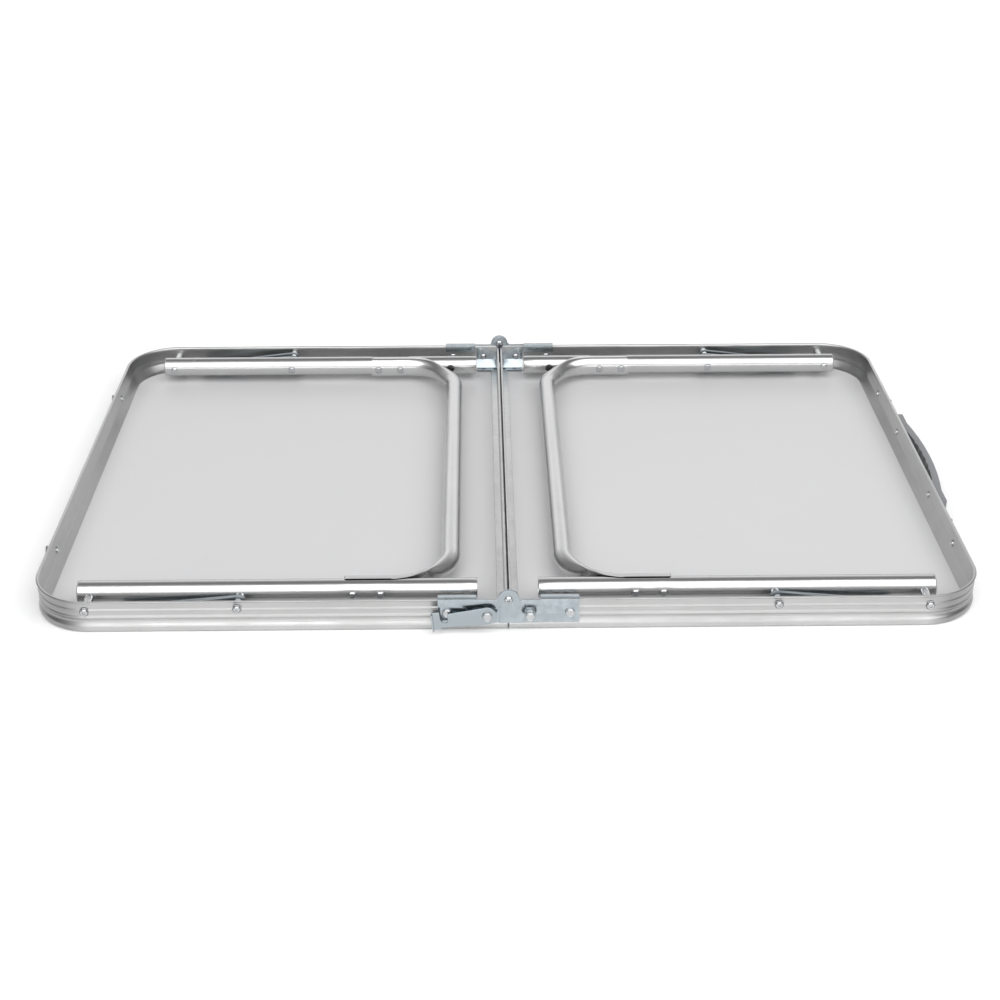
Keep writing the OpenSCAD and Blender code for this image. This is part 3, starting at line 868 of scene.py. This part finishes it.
class TABLE_OT_edge_rails(bpy.types.Operator):
    """Bent edge rail round three sides of each half, swept from its section"""

    bl_idname = "table.edge_rails"
    bl_label = "Edge rails"

    def execute(self, context):
        sizes = context.scene.table_sizes
        r = sizes.corner_radius
        start = SEAM + 2.8
        chamber = [(2.7, 6.4), (8.2, 6.4), (3.4, 14.6), (2.7, 15.0)]
        for name, side in SIDES:
            bm = bmesh.new()
            ring = loop_of(bm, [(start, -HALF_Y + d, z) for d, z in rail_outline()])
            ring += loop_of(bm, [(start, -HALF_Y + d, z) for d, z in chamber])
            first = ring
            for _ in range(4):
                ring = pushed(bm, ring, ((HALF_X - r - start) / 4, 0, 0))
            centre = Vector((HALF_X - r, -HALF_Y + r, 0))
            ring = turned_corner(bm, ring, centre, math.pi / 2, sizes.corner_steps)
            for _ in range(4):
                ring = pushed(bm, ring, (0, (HALF_Y - r) / 2, 0))
            centre.y = HALF_Y - r
            ring = turned_corner(bm, ring, centre, math.pi / 2, sizes.corner_steps)
            for _ in range(4):
                ring = pushed(bm, ring, (-(HALF_X - r - start) / 4, 0, 0))
            capped(bm, first)
            capped(bm, ring)
            for end in (-1, 1):
                wall = [(SEAM, end * (HALF_Y - d), z) for d, z in wall_outline()]
                bar(bm, wall, (start - SEAM - 0.01, 0, 0))
            self.cope(bm)
            mirrored(bm, side)
            placed(
                bm, f"{name}_edge_rail_swept", f"{name}_half", "rail",
                (f"{name}_edge_rail",), sharp=58.0,
            )
        return {"FINISHED"}

    def cope(self, bm):
        """Cuts the wall's top corner back from the hinge pin."""
        cut = bmesh.ops.bisect_plane(
            bm,
            geom=bm.verts[:] + bm.edges[:] + bm.faces[:],
            plane_co=(HINGE_CLEARANCE, 0, HINGE.z),
            plane_no=(-1, 0, 1),
            clear_outer=True,
        )["geom_cut"]
        edges = [g for g in cut if isinstance(g, bmesh.types.BMEdge)]
        bmesh.ops.holes_fill(bm, edges=edges, sides=0)


class TABLE_OT_centre_rails(bpy.types.Operator):
    """Straight rail beside the seam, with a foot that holds the board's edge"""

    bl_idname = "table.centre_rails"
    bl_label = "Centre rails"

    def execute(self, context):
        a = SEAM
        top = RIM
        section = [(a, 0.5), (a + 0.15, 0.15), (a + 0.5, 0.0), (7.65, 0.0), (7.95, 0.12)]
        section += [(8.0, 0.4), (8.0, 1.05), (7.8, 1.2), (3.3, 1.2), (3.3, 4.76)]
        section += [(10.0, 4.76), (10.2, 4.95), (10.2, 5.6), (10.0, 5.88), (9.7, 5.9)]
        section += [(4.0, 5.9), (3.45, 6.1), (3.2, 6.6), (3.2, top - 1.1), (3.12, top - 0.5)]
        section += [(2.9, top - 0.15), (2.5, top), (a + 0.7, top), (a + 0.3, top - 0.12)]
        section += [(a + 0.06, top - 0.45), (a, top - 1.0)]
        for name, side in SIDES:
            bm = bmesh.new()
            reach = HALF_Y - 11
            bar(bm, [(x, -reach, z) for x, z in section], (0, 2 * reach, 0))
            for end in (-1, 1):
                tongue = [(a, 0.6), (3.2, 0.6), (3.2, top - 1), (2.9, top - 0.5)]
                tongue += [(a + 0.5, top - 0.5), (a, top - 1)]
                points = [(x, end * reach, z) for x, z in tongue]
                bar(bm, points, (0, end * (HALF_Y - 3.7 - reach), 0))
            for end in (-1, 1):
                cut = bmesh.ops.bisect_plane(
                    bm,
                    geom=bm.verts[:] + bm.edges[:] + bm.faces[:],
                    plane_co=(0, end * (HALF_Y - 3.9), 28.5),
                    plane_no=(0, end, 0.9),
                    clear_outer=True,
                )["geom_cut"]
                edges = [g for g in cut if isinstance(g, bmesh.types.BMEdge)]
                bmesh.ops.holes_fill(bm, edges=edges, sides=0)
            mirrored(bm, side)
            placed(
                bm, f"{name}_centre_rail_swept", f"{name}_half", "rail",
                (f"{name}_centre_rail",), sharp=50.0,
            )
        return {"FINISHED"}


class TABLE_OT_boards(bpy.types.Operator):
    """Laminate on the two top boards"""

    bl_idname = "table.boards"
    bl_label = "Top boards"

    def execute(self, context):
        for name, _ in SIDES:
            board = frame["nodes"][f"{name}_top_board"]
            board.data.materials.clear()
            board.data.materials.append(finish("board"))
        return {"FINISHED"}


# ---- the legs ----
class TABLE_OT_legs(bpy.types.Operator):
    """Leg tubes with their open foot sockets, button holes and end plugs"""

    bl_idname = "table.legs"
    bl_label = "Leg tubes"

    def execute(self, context):
        sizes = context.scene.table_sizes
        for name, side in SIDES:
            for end_name, end in ENDS:
                bm = self.tube(sizes)
                to_rear(bm, end)
                mirrored(bm, side)
                piece = placed(
                    bm, f"{name}_leg_{end_name}_tube", f"{name}_legs", "tube",
                    (f"{name}_leg_{end_name}",), sharp=40.0,
                )
                self.button_hole(piece, side, end)
            bm = bmesh.new()
            for end in (-1, 1):
                cap = [(0, -5.0), (9.4, -5.0), (9.4, 0.0), (LEG_R - 0.1, 0.0), (LEG_R, 0.15)]
                cap += [(LEG_R, 0.8), (LEG_R - 0.25, 1.1), (LEG_R - 0.7, 1.2), (8.6, 1.2)]
                cap += [(8.3, 0.95), (3.0, 0.95), (2.7, 0.7), (0, 0.7)]
                place = (LEG_TOP - PLUG_RIM, end * abs(LEG.y), LEG.z)
                turned(bm, cap, place, (1, 0, 0), sizes.tube_sides)
            mirrored(bm, side)
            placed(bm, f"{name}_end_plugs_moulded", f"{name}_legs", "plug", (f"{name}_end_plugs",))
        return {"FINISHED"}

    def tube(self, sizes):
        """One front leg tube: rings pushed along from the foot, then drawn in round the rivets."""
        bm = bmesh.new()
        made = bmesh.ops.create_circle(
            bm, cap_ends=False, segments=sizes.tube_sides, radius=LEG_R,
            matrix=Matrix.Rotation(math.pi / 2, 4, "Y"),
        )["verts"]
        bmesh.ops.translate(bm, vec=(FOOT + 0.3, LEG.y, LEG.z), verts=made)
        mouth = list({e for v in made for e in v.link_edges})
        stops = [45, 60, 90, 104]
        stops += [106 + 2.5 * i for i in range(24)]
        stops += [190, 230, 244, 249, 253, 258, 264, 300, 350, 384, 390, 395, 400]
        stops += [LEG_TOP - PLUG_RIM]
        ring, x = mouth, FOOT + 0.3
        for stop in stops:
            ring = pushed(bm, ring, (stop - x, 0, 0))
            x = stop
        outside = set(bm.verts)
        dent_spread = 90.0
        ring = mouth
        bore = [(LEG_R - 0.25, -0.3), (SOCKET_R + 0.15, 0.0), (SOCKET_R, 0.2), (SOCKET_R, 79.8)]
        bore += [(SOCKET_R - 0.3, 0.1), (SOCKET_R - 0.3, 60)]
        for r, step in bore:
            ring = pushed(bm, ring, (step, 0, 0))
            verts = verts_of(ring)
            centre = Vector((verts[0].co.x, LEG.y, LEG.z))
            scale = r / (verts[0].co - centre).length
            bmesh.ops.scale(
                bm, vec=(1, scale, scale), verts=verts, space=Matrix.Translation(-centre)
            )
        capped(bm, ring)
        for v in outside:
            out = LEG.y - v.co.y
            if out < 0:
                continue
            for rivet in SADDLE_RIVETS:
                away = (v.co.x - rivet) ** 2 + (v.co.z - LEG.z) ** 2
                v.co.y += sizes.dent_depth * math.exp(-away / dent_spread) * out / LEG_R
        return bm

    def button_hole(self, piece, side, end):
        """Cuts the round hole for a spring button through the inboard wall."""
        bm = bmesh.new()
        place = (side * (FOOT + BUTTON_FROM_FOOT), end * (abs(LEG.y) - 16), LEG.z)
        place = Vector(place) * MM
        r = BUTTON_R * MM
        bmesh.ops.create_cone(
            bm, cap_ends=True, segments=40, radius1=r, radius2=r, depth=24 * MM,
            matrix=Matrix.Translation(place) @ Matrix.Rotation(math.pi / 2, 4, "X"),
        )
        cutter_mesh = bpy.data.meshes.new("button_hole_cutter")
        bm.to_mesh(cutter_mesh)
        bm.free()
        cutter = bpy.data.objects.new("button_hole_cutter", cutter_mesh)
        bpy.context.scene.collection.objects.link(cutter)
        cut = piece.modifiers.new("button hole", "BOOLEAN")
        cut.object = cutter
        cut.operation = "DIFFERENCE"
        cut.solver = "EXACT"
        result = bpy.data.meshes.new_from_object(
            piece.evaluated_get(bpy.context.evaluated_depsgraph_get())
        )
        piece.modifiers.clear()
        if len(result.vertices) < 100:
            raise RuntimeError("the button hole's cut left no tube")
        piece.data = result
        result.shade_smooth()
        result.set_sharp_from_angle(angle=math.radians(40))
        bpy.data.objects.remove(cutter)


class TABLE_OT_cross_tubes(bpy.types.Operator):
    """Bent cross tube of each leg frame, with ends flattened into saddles on the legs"""

    bl_idname = "table.cross_tubes"
    bl_label = "Cross tubes"

    def execute(self, context):
        sizes = context.scene.table_sizes
        r, bend = sizes.cross_radius, sizes.bend_radius
        lane = -(abs(LEG.y) - LEG_R - r + 0.5)
        saddle_end = high("right_cross_tube").x
        for name, side in SIDES:
            bm = bmesh.new()
            made = bmesh.ops.create_circle(
                bm, cap_ends=False, segments=sizes.tube_sides, radius=r,
                matrix=Matrix.Rotation(math.pi / 2, 4, "X"),
            )["verts"]
            bmesh.ops.translate(bm, vec=(sizes.cross_offset, 0, LEG.z), verts=made)
            ring = list({e for v in made for e in v.link_edges})
            for _ in range(6):
                ring = pushed(bm, ring, (0, (lane + bend) / 6, 0))
            centre = Vector((sizes.cross_offset + bend, lane + bend, 0))
            ring = turned_corner(bm, ring, centre, math.pi / 2, 36)
            x = centre.x
            for stop in [x + (saddle_end - x) * i / 36 for i in range(1, 37)]:
                ring = pushed(bm, ring, (stop - x, 0, 0))
                x = stop
            self.flatten(bm, centre, bend, lane, saddle_end)
            capped(bm, ring)
            add_rear(bm)
            mirrored(bm, side)
            placed(
                bm, f"{name}_cross_tube_bent", f"{name}_legs", "tube",
                (f"{name}_cross_tube",), sharp=48.0,
            )
        return {"FINISHED"}

    def flatten(self, bm, centre, bend, lane, end):
        """Presses the tube, from within its bend on, into a shell round the leg."""
        inner, outer = LEG_R + 0.08, LEG_R + 2.55
        middle, half = (inner + outer) / 2, (outer - inner) / 2
        away = lane - LEG.y
        start, done = 0.5 * bend, bend * math.pi / 2 + 12
        ceiling = HINGE.z - 0.45
        for v in bm.verts:
            spoke = Vector((v.co.x - centre.x, v.co.y - centre.y))
            straight = v.co.x >= centre.x - 0.01
            if straight:
                station = bend * math.pi / 2 + v.co.x - centre.x
                across = v.co.y - lane
            else:
                station = bend * math.atan2(-spoke.y, -spoke.x)
                across = bend - spoke.length
            t = min(max((station - start) / (done - start), 0.0), 1.0)
            t = t * t * (3 - 2 * t)
            if t == 0:
                continue
            up = v.co.z - LEG.z
            angle = math.atan2(up, across)
            facing = math.cos(angle)
            wrap = angle if facing >= 0 else math.pi - abs(angle)
            if facing < 0:
                wrap = math.copysign(wrap, up)
            share = max(min(facing * 5.0, 1.0), -1.0)
            radius = middle + share * half
            new_across = (1 - t) * across + t * (math.cos(wrap) * radius - away)
            new_up = (1 - t) * up + t * math.sin(wrap) * radius
            if straight:
                v.co.y = lane + new_across
            else:
                spoke *= (bend - new_across) / spoke.length
                v.co.x, v.co.y = centre.x + spoke.x, centre.y + spoke.y
            v.co.z = min(LEG.z + new_up, ceiling)
            # the saddle's outer corners are rounded over its last 4 mm
            corner = max(v.co.x - (end - 4), 0.0) / 4.0
            v.co.x -= corner * 3.0 * max(abs(new_up) / outer - 0.55, 0.0) ** 2 / 0.2


class TABLE_OT_leg_rivets(bpy.types.Operator):
    """Rivets through the saddles, and the pins of the legs and braces"""

    bl_idname = "table.leg_rivets"
    bl_label = "Leg rivets and pins"

    def execute(self, context):
        leg_y = abs(LEG.y)
        for name, side in SIDES:
            bm = bmesh.new()
            for x in SADDLE_RIVETS:
                along_y(bm, dome(4.5, 2.5), x, -(leg_y + LEG_R - 0.8), LEG.z, -1)
                along_y(bm, rail_head(3.6, 1.5), x, -(leg_y - LEG_R - 2.5), LEG.z, 1)
            add_rear(bm)
            mirrored(bm, side)
            placed(
                bm, f"{name}_saddle_rivet_heads", f"{name}_legs", "rivet",
                (f"{name}_saddle_rivets",),
            )
            self.link_pins(name, side, leg_y)
            self.rail_pins(name, side, leg_y)
        return {"FINISHED"}

    def link_pins(self, name, side, leg_y):
        bm = bmesh.new()
        spacer = high(f"{name}_leg_link_rear").y - 2.0
        outer = leg_y + LEG_R
        along_y(bm, shank(SPACER_R, spacer - outer + 0.6), BRACE.x, -(outer - 0.7), LEG.z, -1)
        top = high(f"{name}_link_pins").y
        along_y(bm, shank(RIVET_R, top - outer), BRACE.x, -outer, LEG.z, -1)
        along_y(bm, dome(4.0, 1.3), BRACE.x, -(top - 1.35), LEG.z, -1)
        along_y(bm, rail_head(3.6, 2.0), BRACE.x, -(leg_y - LEG_R + 0.2), LEG.z, 1)
        add_rear(bm)
        mirrored(bm, side)
        placed(bm, f"{name}_link_pin_heads", f"{name}_legs", "rivet", (f"{name}_link_pins",))

    def rail_pins(self, name, side, leg_y):
        bm = bmesh.new()
        seat = HALF_Y - 0.65
        inner = leg_y - LEG_R
        along_y(bm, rail_head(3.6, 2.0), PIVOT.x, -seat, PIVOT.z, -1)
        along_y(bm, shank(PIN_R, HALF_Y - inner - 0.9), PIVOT.x, -(inner - 0.3), PIVOT.z, -1)
        along_y(bm, dome(4.0, 1.8), PIVOT.x, -(inner - 0.2), PIVOT.z, 1)
        room = LONG_RAIL_INSIDE - leg_y - LEG_R - 0.4
        bore, edge = PIN_R + 0.1, SPACER_R - 0.2
        ring = [(bore, 0), (edge, 0), (SPACER_R, 0.2), (SPACER_R, room - 0.2)]
        ring += [(edge, room), (bore, room)]
        along_y(bm, ring, PIVOT.x, -(leg_y + LEG_R + 0.3), PIVOT.z, -1)
        add_rear(bm)
        mirrored(bm, side)
        placed(bm, f"{name}_leg_pin_heads", f"{name}_half", "rivet", (f"{name}_leg_pins",))
        bm = bmesh.new()
        along_y(bm, rail_head(3.4, 1.9), RAIL_PIN.x, -seat, RAIL_PIN.z, -1)
        layer = abs(RAIL_PIN.y) + 3.3
        reach = LONG_RAIL_INSIDE - layer
        along_y(bm, shank(RIVET_R, reach + 1.5), RAIL_PIN.x, -(layer - 0.3), RAIL_PIN.z, -1)
        along_y(bm, dome(4.0, 1.3), RAIL_PIN.x, -layer, RAIL_PIN.z, 1)
        along_y(bm, shank(SPACER_R, reach - 2.2), RAIL_PIN.x, -(layer + 2.15), RAIL_PIN.z, -1)
        add_rear(bm)
        mirrored(bm, side)
        placed(bm, f"{name}_brace_pin_heads", f"{name}_half", "rivet", (f"{name}_brace_pins",))


# ---- hinges, brackets and lock ----
class TABLE_OT_hinges(bpy.types.Operator):
    """Seam hinge leaves, their pins, and the inside corner brackets"""

    bl_idname = "table.hinges"
    bl_label = "Hinges and brackets"

    def execute(self, context):
        width = context.scene.table_sizes.sheet_edge
        for name, _ in SIDES:
            for end, _ in ENDS:
                for fitting in ("leaf", "bracket"):
                    node = f"{name}_{fitting}_{end}"
                    softened(node, f"{node}_stamped", f"{name}_half", "zinc", width)
        outer = high("hinge_pins").y
        bm = bmesh.new()
        along_y(bm, pop_head(3.9, 2.1), 0, -(outer - 2.15), HINGE.z, -1)
        along_y(bm, shank(RIVET_R, 3.2), 0, -(outer - 5.3), HINGE.z, -1)
        along_y(bm, dome(4.0, 1.7), 0, -(HALF_Y + 0.2), HINGE.z, 1)
        add_rear(bm)
        placed(bm, "hinge_pin_heads", "left_half", "rivet", ("hinge_pins",))
        return {"FINISHED"}


class TABLE_OT_frame_rivets(bpy.types.Operator):
    """Rivets that hold the hinge leaves and brackets to the rails"""

    bl_idname = "table.frame_rivets"
    bl_label = "Frame rivets"

    def execute(self, context):
        far, near = LEAF_END - 8.5, abs(LOCK.x)
        for name, side in SIDES:
            bm = bmesh.new()
            for end in (-1, 1):
                along_y(bm, flat_head(4.6, 1.9), far, end * LEAF_FACE, LOCK.z, end)
                along_y(bm, pop_head(4.1, 1.5), far, end * LONG_RAIL_INSIDE, LOCK.z, -end)
            along_y(bm, pop_head(4.6, 1.9), near, LEAF_FACE, LOCK.z, 1)
            along_y(bm, pop_head(3.6, 1.5), near, BRACKET_INSIDE, LOCK.z, -1)
            mirrored(bm, side)
            placed(bm, f"{name}_frame_rivet_heads", f"{name}_half", "rivet", (f"{name}_rivets",))
        return {"FINISHED"}


class TABLE_OT_lock(bpy.types.Operator):
    """Swinging lock lever with its two studs"""

    bl_idname = "table.lock"
    bl_label = "Seam lock"

    def execute(self, context):
        softened("lock_lever", "lock_lever_stamped", "lever", "zinc", 0.3, segments=3)
        head_r, head_height = 4.8, 2.2
        face = low("lock_stud").y + head_height
        for node, body, side, collar in (
            ("lever_stud", "left_half", -1, 5.0),
            ("lock_stud", "right_half", 1, 4.0),
        ):
            bm = bmesh.new()
            x = side * abs(LOCK.x)
            along_y(bm, flat_head(head_r, head_height), x, face, LOCK.z, -1, 40)
            along_y(bm, shank(PIN_R, 3.0), x, face + 2.4, LOCK.z, -1)
            under = [(PIN_R, 0), (collar - 0.3, 0), (collar, 0.3), (collar, 3.6)]
            under += [(collar - 0.4, 4.2), (2.6, 4.2)]
            along_y(bm, under, x, -(LEAF_FACE + 0.03), LOCK.z, -1)
            along_y(bm, pop_head(3.6, 1.5), x, -BRACKET_INSIDE, LOCK.z, 1)
            placed(bm, f"{node}_turned", body, "rivet", (node,))
        return {"FINISHED"}


# ---- braces ----
class TABLE_OT_braces(bpy.types.Operator):
    """Folding knee braces, two links to each leg"""

    bl_idname = "table.braces"
    bl_label = "Knee braces"

    def execute(self, context):
        for name, _ in SIDES:
            for end, _ in ENDS:
                for kind in ("rail_link", "leg_link"):
                    node = f"{name}_{kind}_{end}"
                    softened(node, f"{node}_pressed", node, "link", 0.35, segments=3)
        return {"FINISHED"}


# ---- case hardware ----
class TABLE_OT_catches(bpy.types.Operator):
    """Case catches: swing hooks on one short rail, keeper studs on the other"""

    bl_idname = "table.catches"
    bl_label = "Case catches"

    def execute(self, context):
        for end, _ in ENDS:
            softened(f"catch_hook_{end}", f"catch_hook_{end}_stamped", f"hook_{end}", "zinc", 0.25)
        for node, side, body in (
            ("catch_keepers", -1, "left_half"),
            ("catch_pins", 1, "right_half"),
        ):
            bm = bmesh.new()
            for end in (-1, 1):
                place = (SHORT_RAIL_FACE, end * CATCH.y, CATCH.z)
                inside = (SHORT_RAIL_INSIDE, end * CATCH.y, CATCH.z)
                turned(bm, rail_head(3.0, 1.4), inside, (-1, 0, 0))
                if side < 0:
                    stud = [(0, 0), (4.2, 0), (4.2, 2.8), (3.9, 3.0), (2.6, 3.1), (2.5, 3.4)]
                    stud += [(2.5, 6.5), (4.6, 6.7), (5.0, 7.0), (4.9, 7.6), (4.2, 8.1), (0, 8.2)]
                else:
                    stud = [(0, 0), (4.2, 0), (4.2, 3.1), (2.6, 3.2), (2.5, 3.3), (2.5, 5.1)]
                    stud += [(4.1, 5.2), (4.2, 5.5), (3.6, 6.3), (2.4, 6.75), (0, 6.8)]
                turned(bm, stud, place, (1, 0, 0))
            mirrored(bm, side)
            placed(bm, f"{node}_turned", body, "rivet", (node,))
        return {"FINISHED"}


class TABLE_OT_handle(bpy.types.Operator):
    """Moulded carry handle with finger waves, and its rivets"""

    bl_idname = "table.handle"
    bl_label = "Carry handle"

    def execute(self, context):
        edge = context.scene.table_sizes.handle_edge
        softened(
            "handle_grip", "handle_grip_moulded", "right_half", "grip", edge,
            segments=5, angle=50.0, sharp=40.0,
        )
        bm = bmesh.new()
        span = high("handle_rivets").y - 3.8
        for end in (-1, 1):
            inside = (SHORT_RAIL_INSIDE, end * span, CATCH.z)
            turned(bm, rail_head(3.0, 1.4), inside, (-1, 0, 0))
            turned(bm, shank(RIVET_R, 8.0), (HALF_X - 5.0, end * span, CATCH.z), (1, 0, 0))
        placed(bm, "handle_rivet_heads", "right_half", "rivet", ("handle_rivets",))
        return {"FINISHED"}


# ---- the stage ----
def lamp(name, place, aim, size, power):
    data = bpy.data.lights.new(name, "AREA")
    data.shape = "RECTANGLE"
    data.size, data.size_y = size
    data.energy = power
    made = bpy.data.objects.new(name, data)
    bpy.context.scene.collection.objects.link(made)
    made.location = place
    made.rotation_mode = "QUATERNION"
    made.rotation_quaternion = (Vector(aim) - Vector(place)).to_track_quat("-Z", "Y")


class TABLE_OT_stage(bpy.types.Operator):
    """Plain pale floor, soft studio lights and the camera"""

    bl_idname = "table.stage"
    bl_label = "Floor, lights and camera"

    def execute(self, context):
        look = context.scene.table_stage
        scene = context.scene
        bm = bmesh.new()
        bmesh.ops.create_grid(bm, x_segments=2, y_segments=2, size=14.0)
        mesh = bpy.data.meshes.new("floor")
        bm.to_mesh(mesh)
        bm.free()
        floor = bpy.data.objects.new("floor", mesh)
        scene.collection.objects.link(floor)
        floor_look, w, shader, place = material("floor paper", 0.0, **{"Specular IOR Level": 0.1})
        cloud = shared(w, "Mottle", place, Size=1.5)
        pale = tuple(look.floor_colour)
        w.join(
            w.blend(cloud.outputs["Cloud"], tint(pale, 0.995), tint(pale, 1.0)),
            shader.inputs["Base Color"],
        )
        shader.inputs["Roughness"].default_value = 0.8
        shader.inputs["Emission Color"].default_value = (1.0, 1.0, 1.0, 1.0)
        parts = w.add("ShaderNodeSeparateXYZ")
        w.join(place, parts.inputs[0])
        far = w.ramp(parts.outputs["Y"], -0.4, 2.6, 0.05, look.floor_glow)
        w.join(far, shader.inputs["Emission Strength"])
        mesh.materials.append(floor_look)
        self.world(scene)
        k = look.light_power
        lamp("overhead softbox", (0.5, -1.95, 2.75), (0.05, -0.1, 0), (7.0, 3.6), 150 * k)
        lamp("low front softbox", (0.0, -4.6, 0.5), (0, 0, 0.1), (5.0, 0.8), 21 * k)
        lamp("rear fill", (0.0, 4.4, 1.95), (0, 0, 0.1), (6.0, 1.4), 14 * k)
        self.camera(scene, look.lens)
        scene.view_settings.view_transform = "Standard"
        scene.view_settings.look = "None"
        return {"FINISHED"}

    def world(self, scene):
        """A pale room: light walls, a dark ceiling behind and a lighter one in front."""
        world = bpy.data.worlds.new("studio")
        scene.world = world
        world.use_nodes = True
        tree = world.node_tree
        tree.nodes.clear()
        w = Wiring(tree)
        parts = w.add("ShaderNodeSeparateXYZ")
        w.join(w.add("ShaderNodeTexCoord").outputs["Generated"], parts.inputs["Vector"])
        angle = w.maths("ARCTAN2", parts.outputs["Z"], parts.outputs["Y"])
        ceiling = w.maths(
            "MULTIPLY", w.ramp(angle, 0.62, 0.95), w.ramp(angle, 1.4, 1.7, 1.0, 0.0)
        )
        aside = w.ramp(w.maths("ABSOLUTE", parts.outputs["X"], 0.0), 0.55, 0.95)
        walls = w.blend(aside, (0.78, 0.78, 0.785), (0.24, 0.24, 0.245))
        shade = w.blend(ceiling, walls, (0.26, 0.26, 0.265))
        light = w.add("ShaderNodeBackground")
        light.inputs["Strength"].default_value = 0.95
        w.join(shade, light.inputs["Color"])
        out = w.add("ShaderNodeOutputWorld")
        w.join(light.outputs["Background"], out.inputs["Surface"])

    def camera(self, scene, lens):
        data = bpy.data.cameras.new("camera")
        data.sensor_width = 36.0
        data.lens = lens
        data.clip_end = 60.0
        made = bpy.data.objects.new("camera", data)
        scene.collection.objects.link(made)
        made.location = (-0.0275, -1.65441, 0.86886)
        pitch, yaw, roll = math.radians(28.339), 0.01445, -0.00054
        ahead = Vector(
            (math.sin(yaw) * math.cos(pitch), math.cos(yaw) * math.cos(pitch), -math.sin(pitch))
        )
        made.rotation_mode = "QUATERNION"
        made.rotation_quaternion = ahead.to_track_quat("-Z", "Y")
        made.rotation_quaternion.rotate(Matrix.Rotation(-roll, 3, ahead).to_quaternion())
        scene.camera = made


STEPS = (
    TABLE_OT_edge_rails,
    TABLE_OT_centre_rails,
    TABLE_OT_boards,
    TABLE_OT_legs,
    TABLE_OT_cross_tubes,
    TABLE_OT_leg_rivets,
    TABLE_OT_hinges,
    TABLE_OT_frame_rivets,
    TABLE_OT_lock,
    TABLE_OT_braces,
    TABLE_OT_catches,
    TABLE_OT_handle,
    TABLE_OT_stage,
)


class TABLE_PT_pieces(bpy.types.Panel):
    """Lists the table's pieces and their sizes"""

    bl_idname = "TABLE_PT_pieces"
    bl_label = "Folding table"
    bl_space_type = "VIEW_3D"
    bl_region_type = "UI"
    bl_category = "Table"

    def draw(self, context):
        layout = self.layout
        for title, group in (
            ("Sizes", context.scene.table_sizes),
            ("Finishes", context.scene.table_finishes),
            ("Stage", context.scene.table_stage),
        ):
            box = layout.box()
            box.label(text=title)
            for name in group.__annotations__:
                box.prop(group, name)
        for step in STEPS:
            layout.operator(step.bl_idname)


GROUPS_OF_SIZES = (TableSizes, TableFinishes, TableStage)


def register():
    for cls in GROUPS_OF_SIZES + STEPS + (TABLE_PT_pieces,):
        bpy.utils.register_class(cls)
    bpy.types.Scene.table_sizes = PointerProperty(type=TableSizes)
    bpy.types.Scene.table_finishes = PointerProperty(type=TableFinishes)
    bpy.types.Scene.table_stage = PointerProperty(type=TableStage)


def unregister():
    del bpy.types.Scene.table_stage
    del bpy.types.Scene.table_finishes
    del bpy.types.Scene.table_sizes
    for cls in reversed(GROUPS_OF_SIZES + STEPS + (TABLE_PT_pieces,)):
        bpy.utils.unregister_class(cls)


def main():
    register()
    for step in STEPS:
        group, name = step.bl_idname.split(".")
        getattr(getattr(bpy.ops, group), name)()


if __name__ == "__main__":
    main()
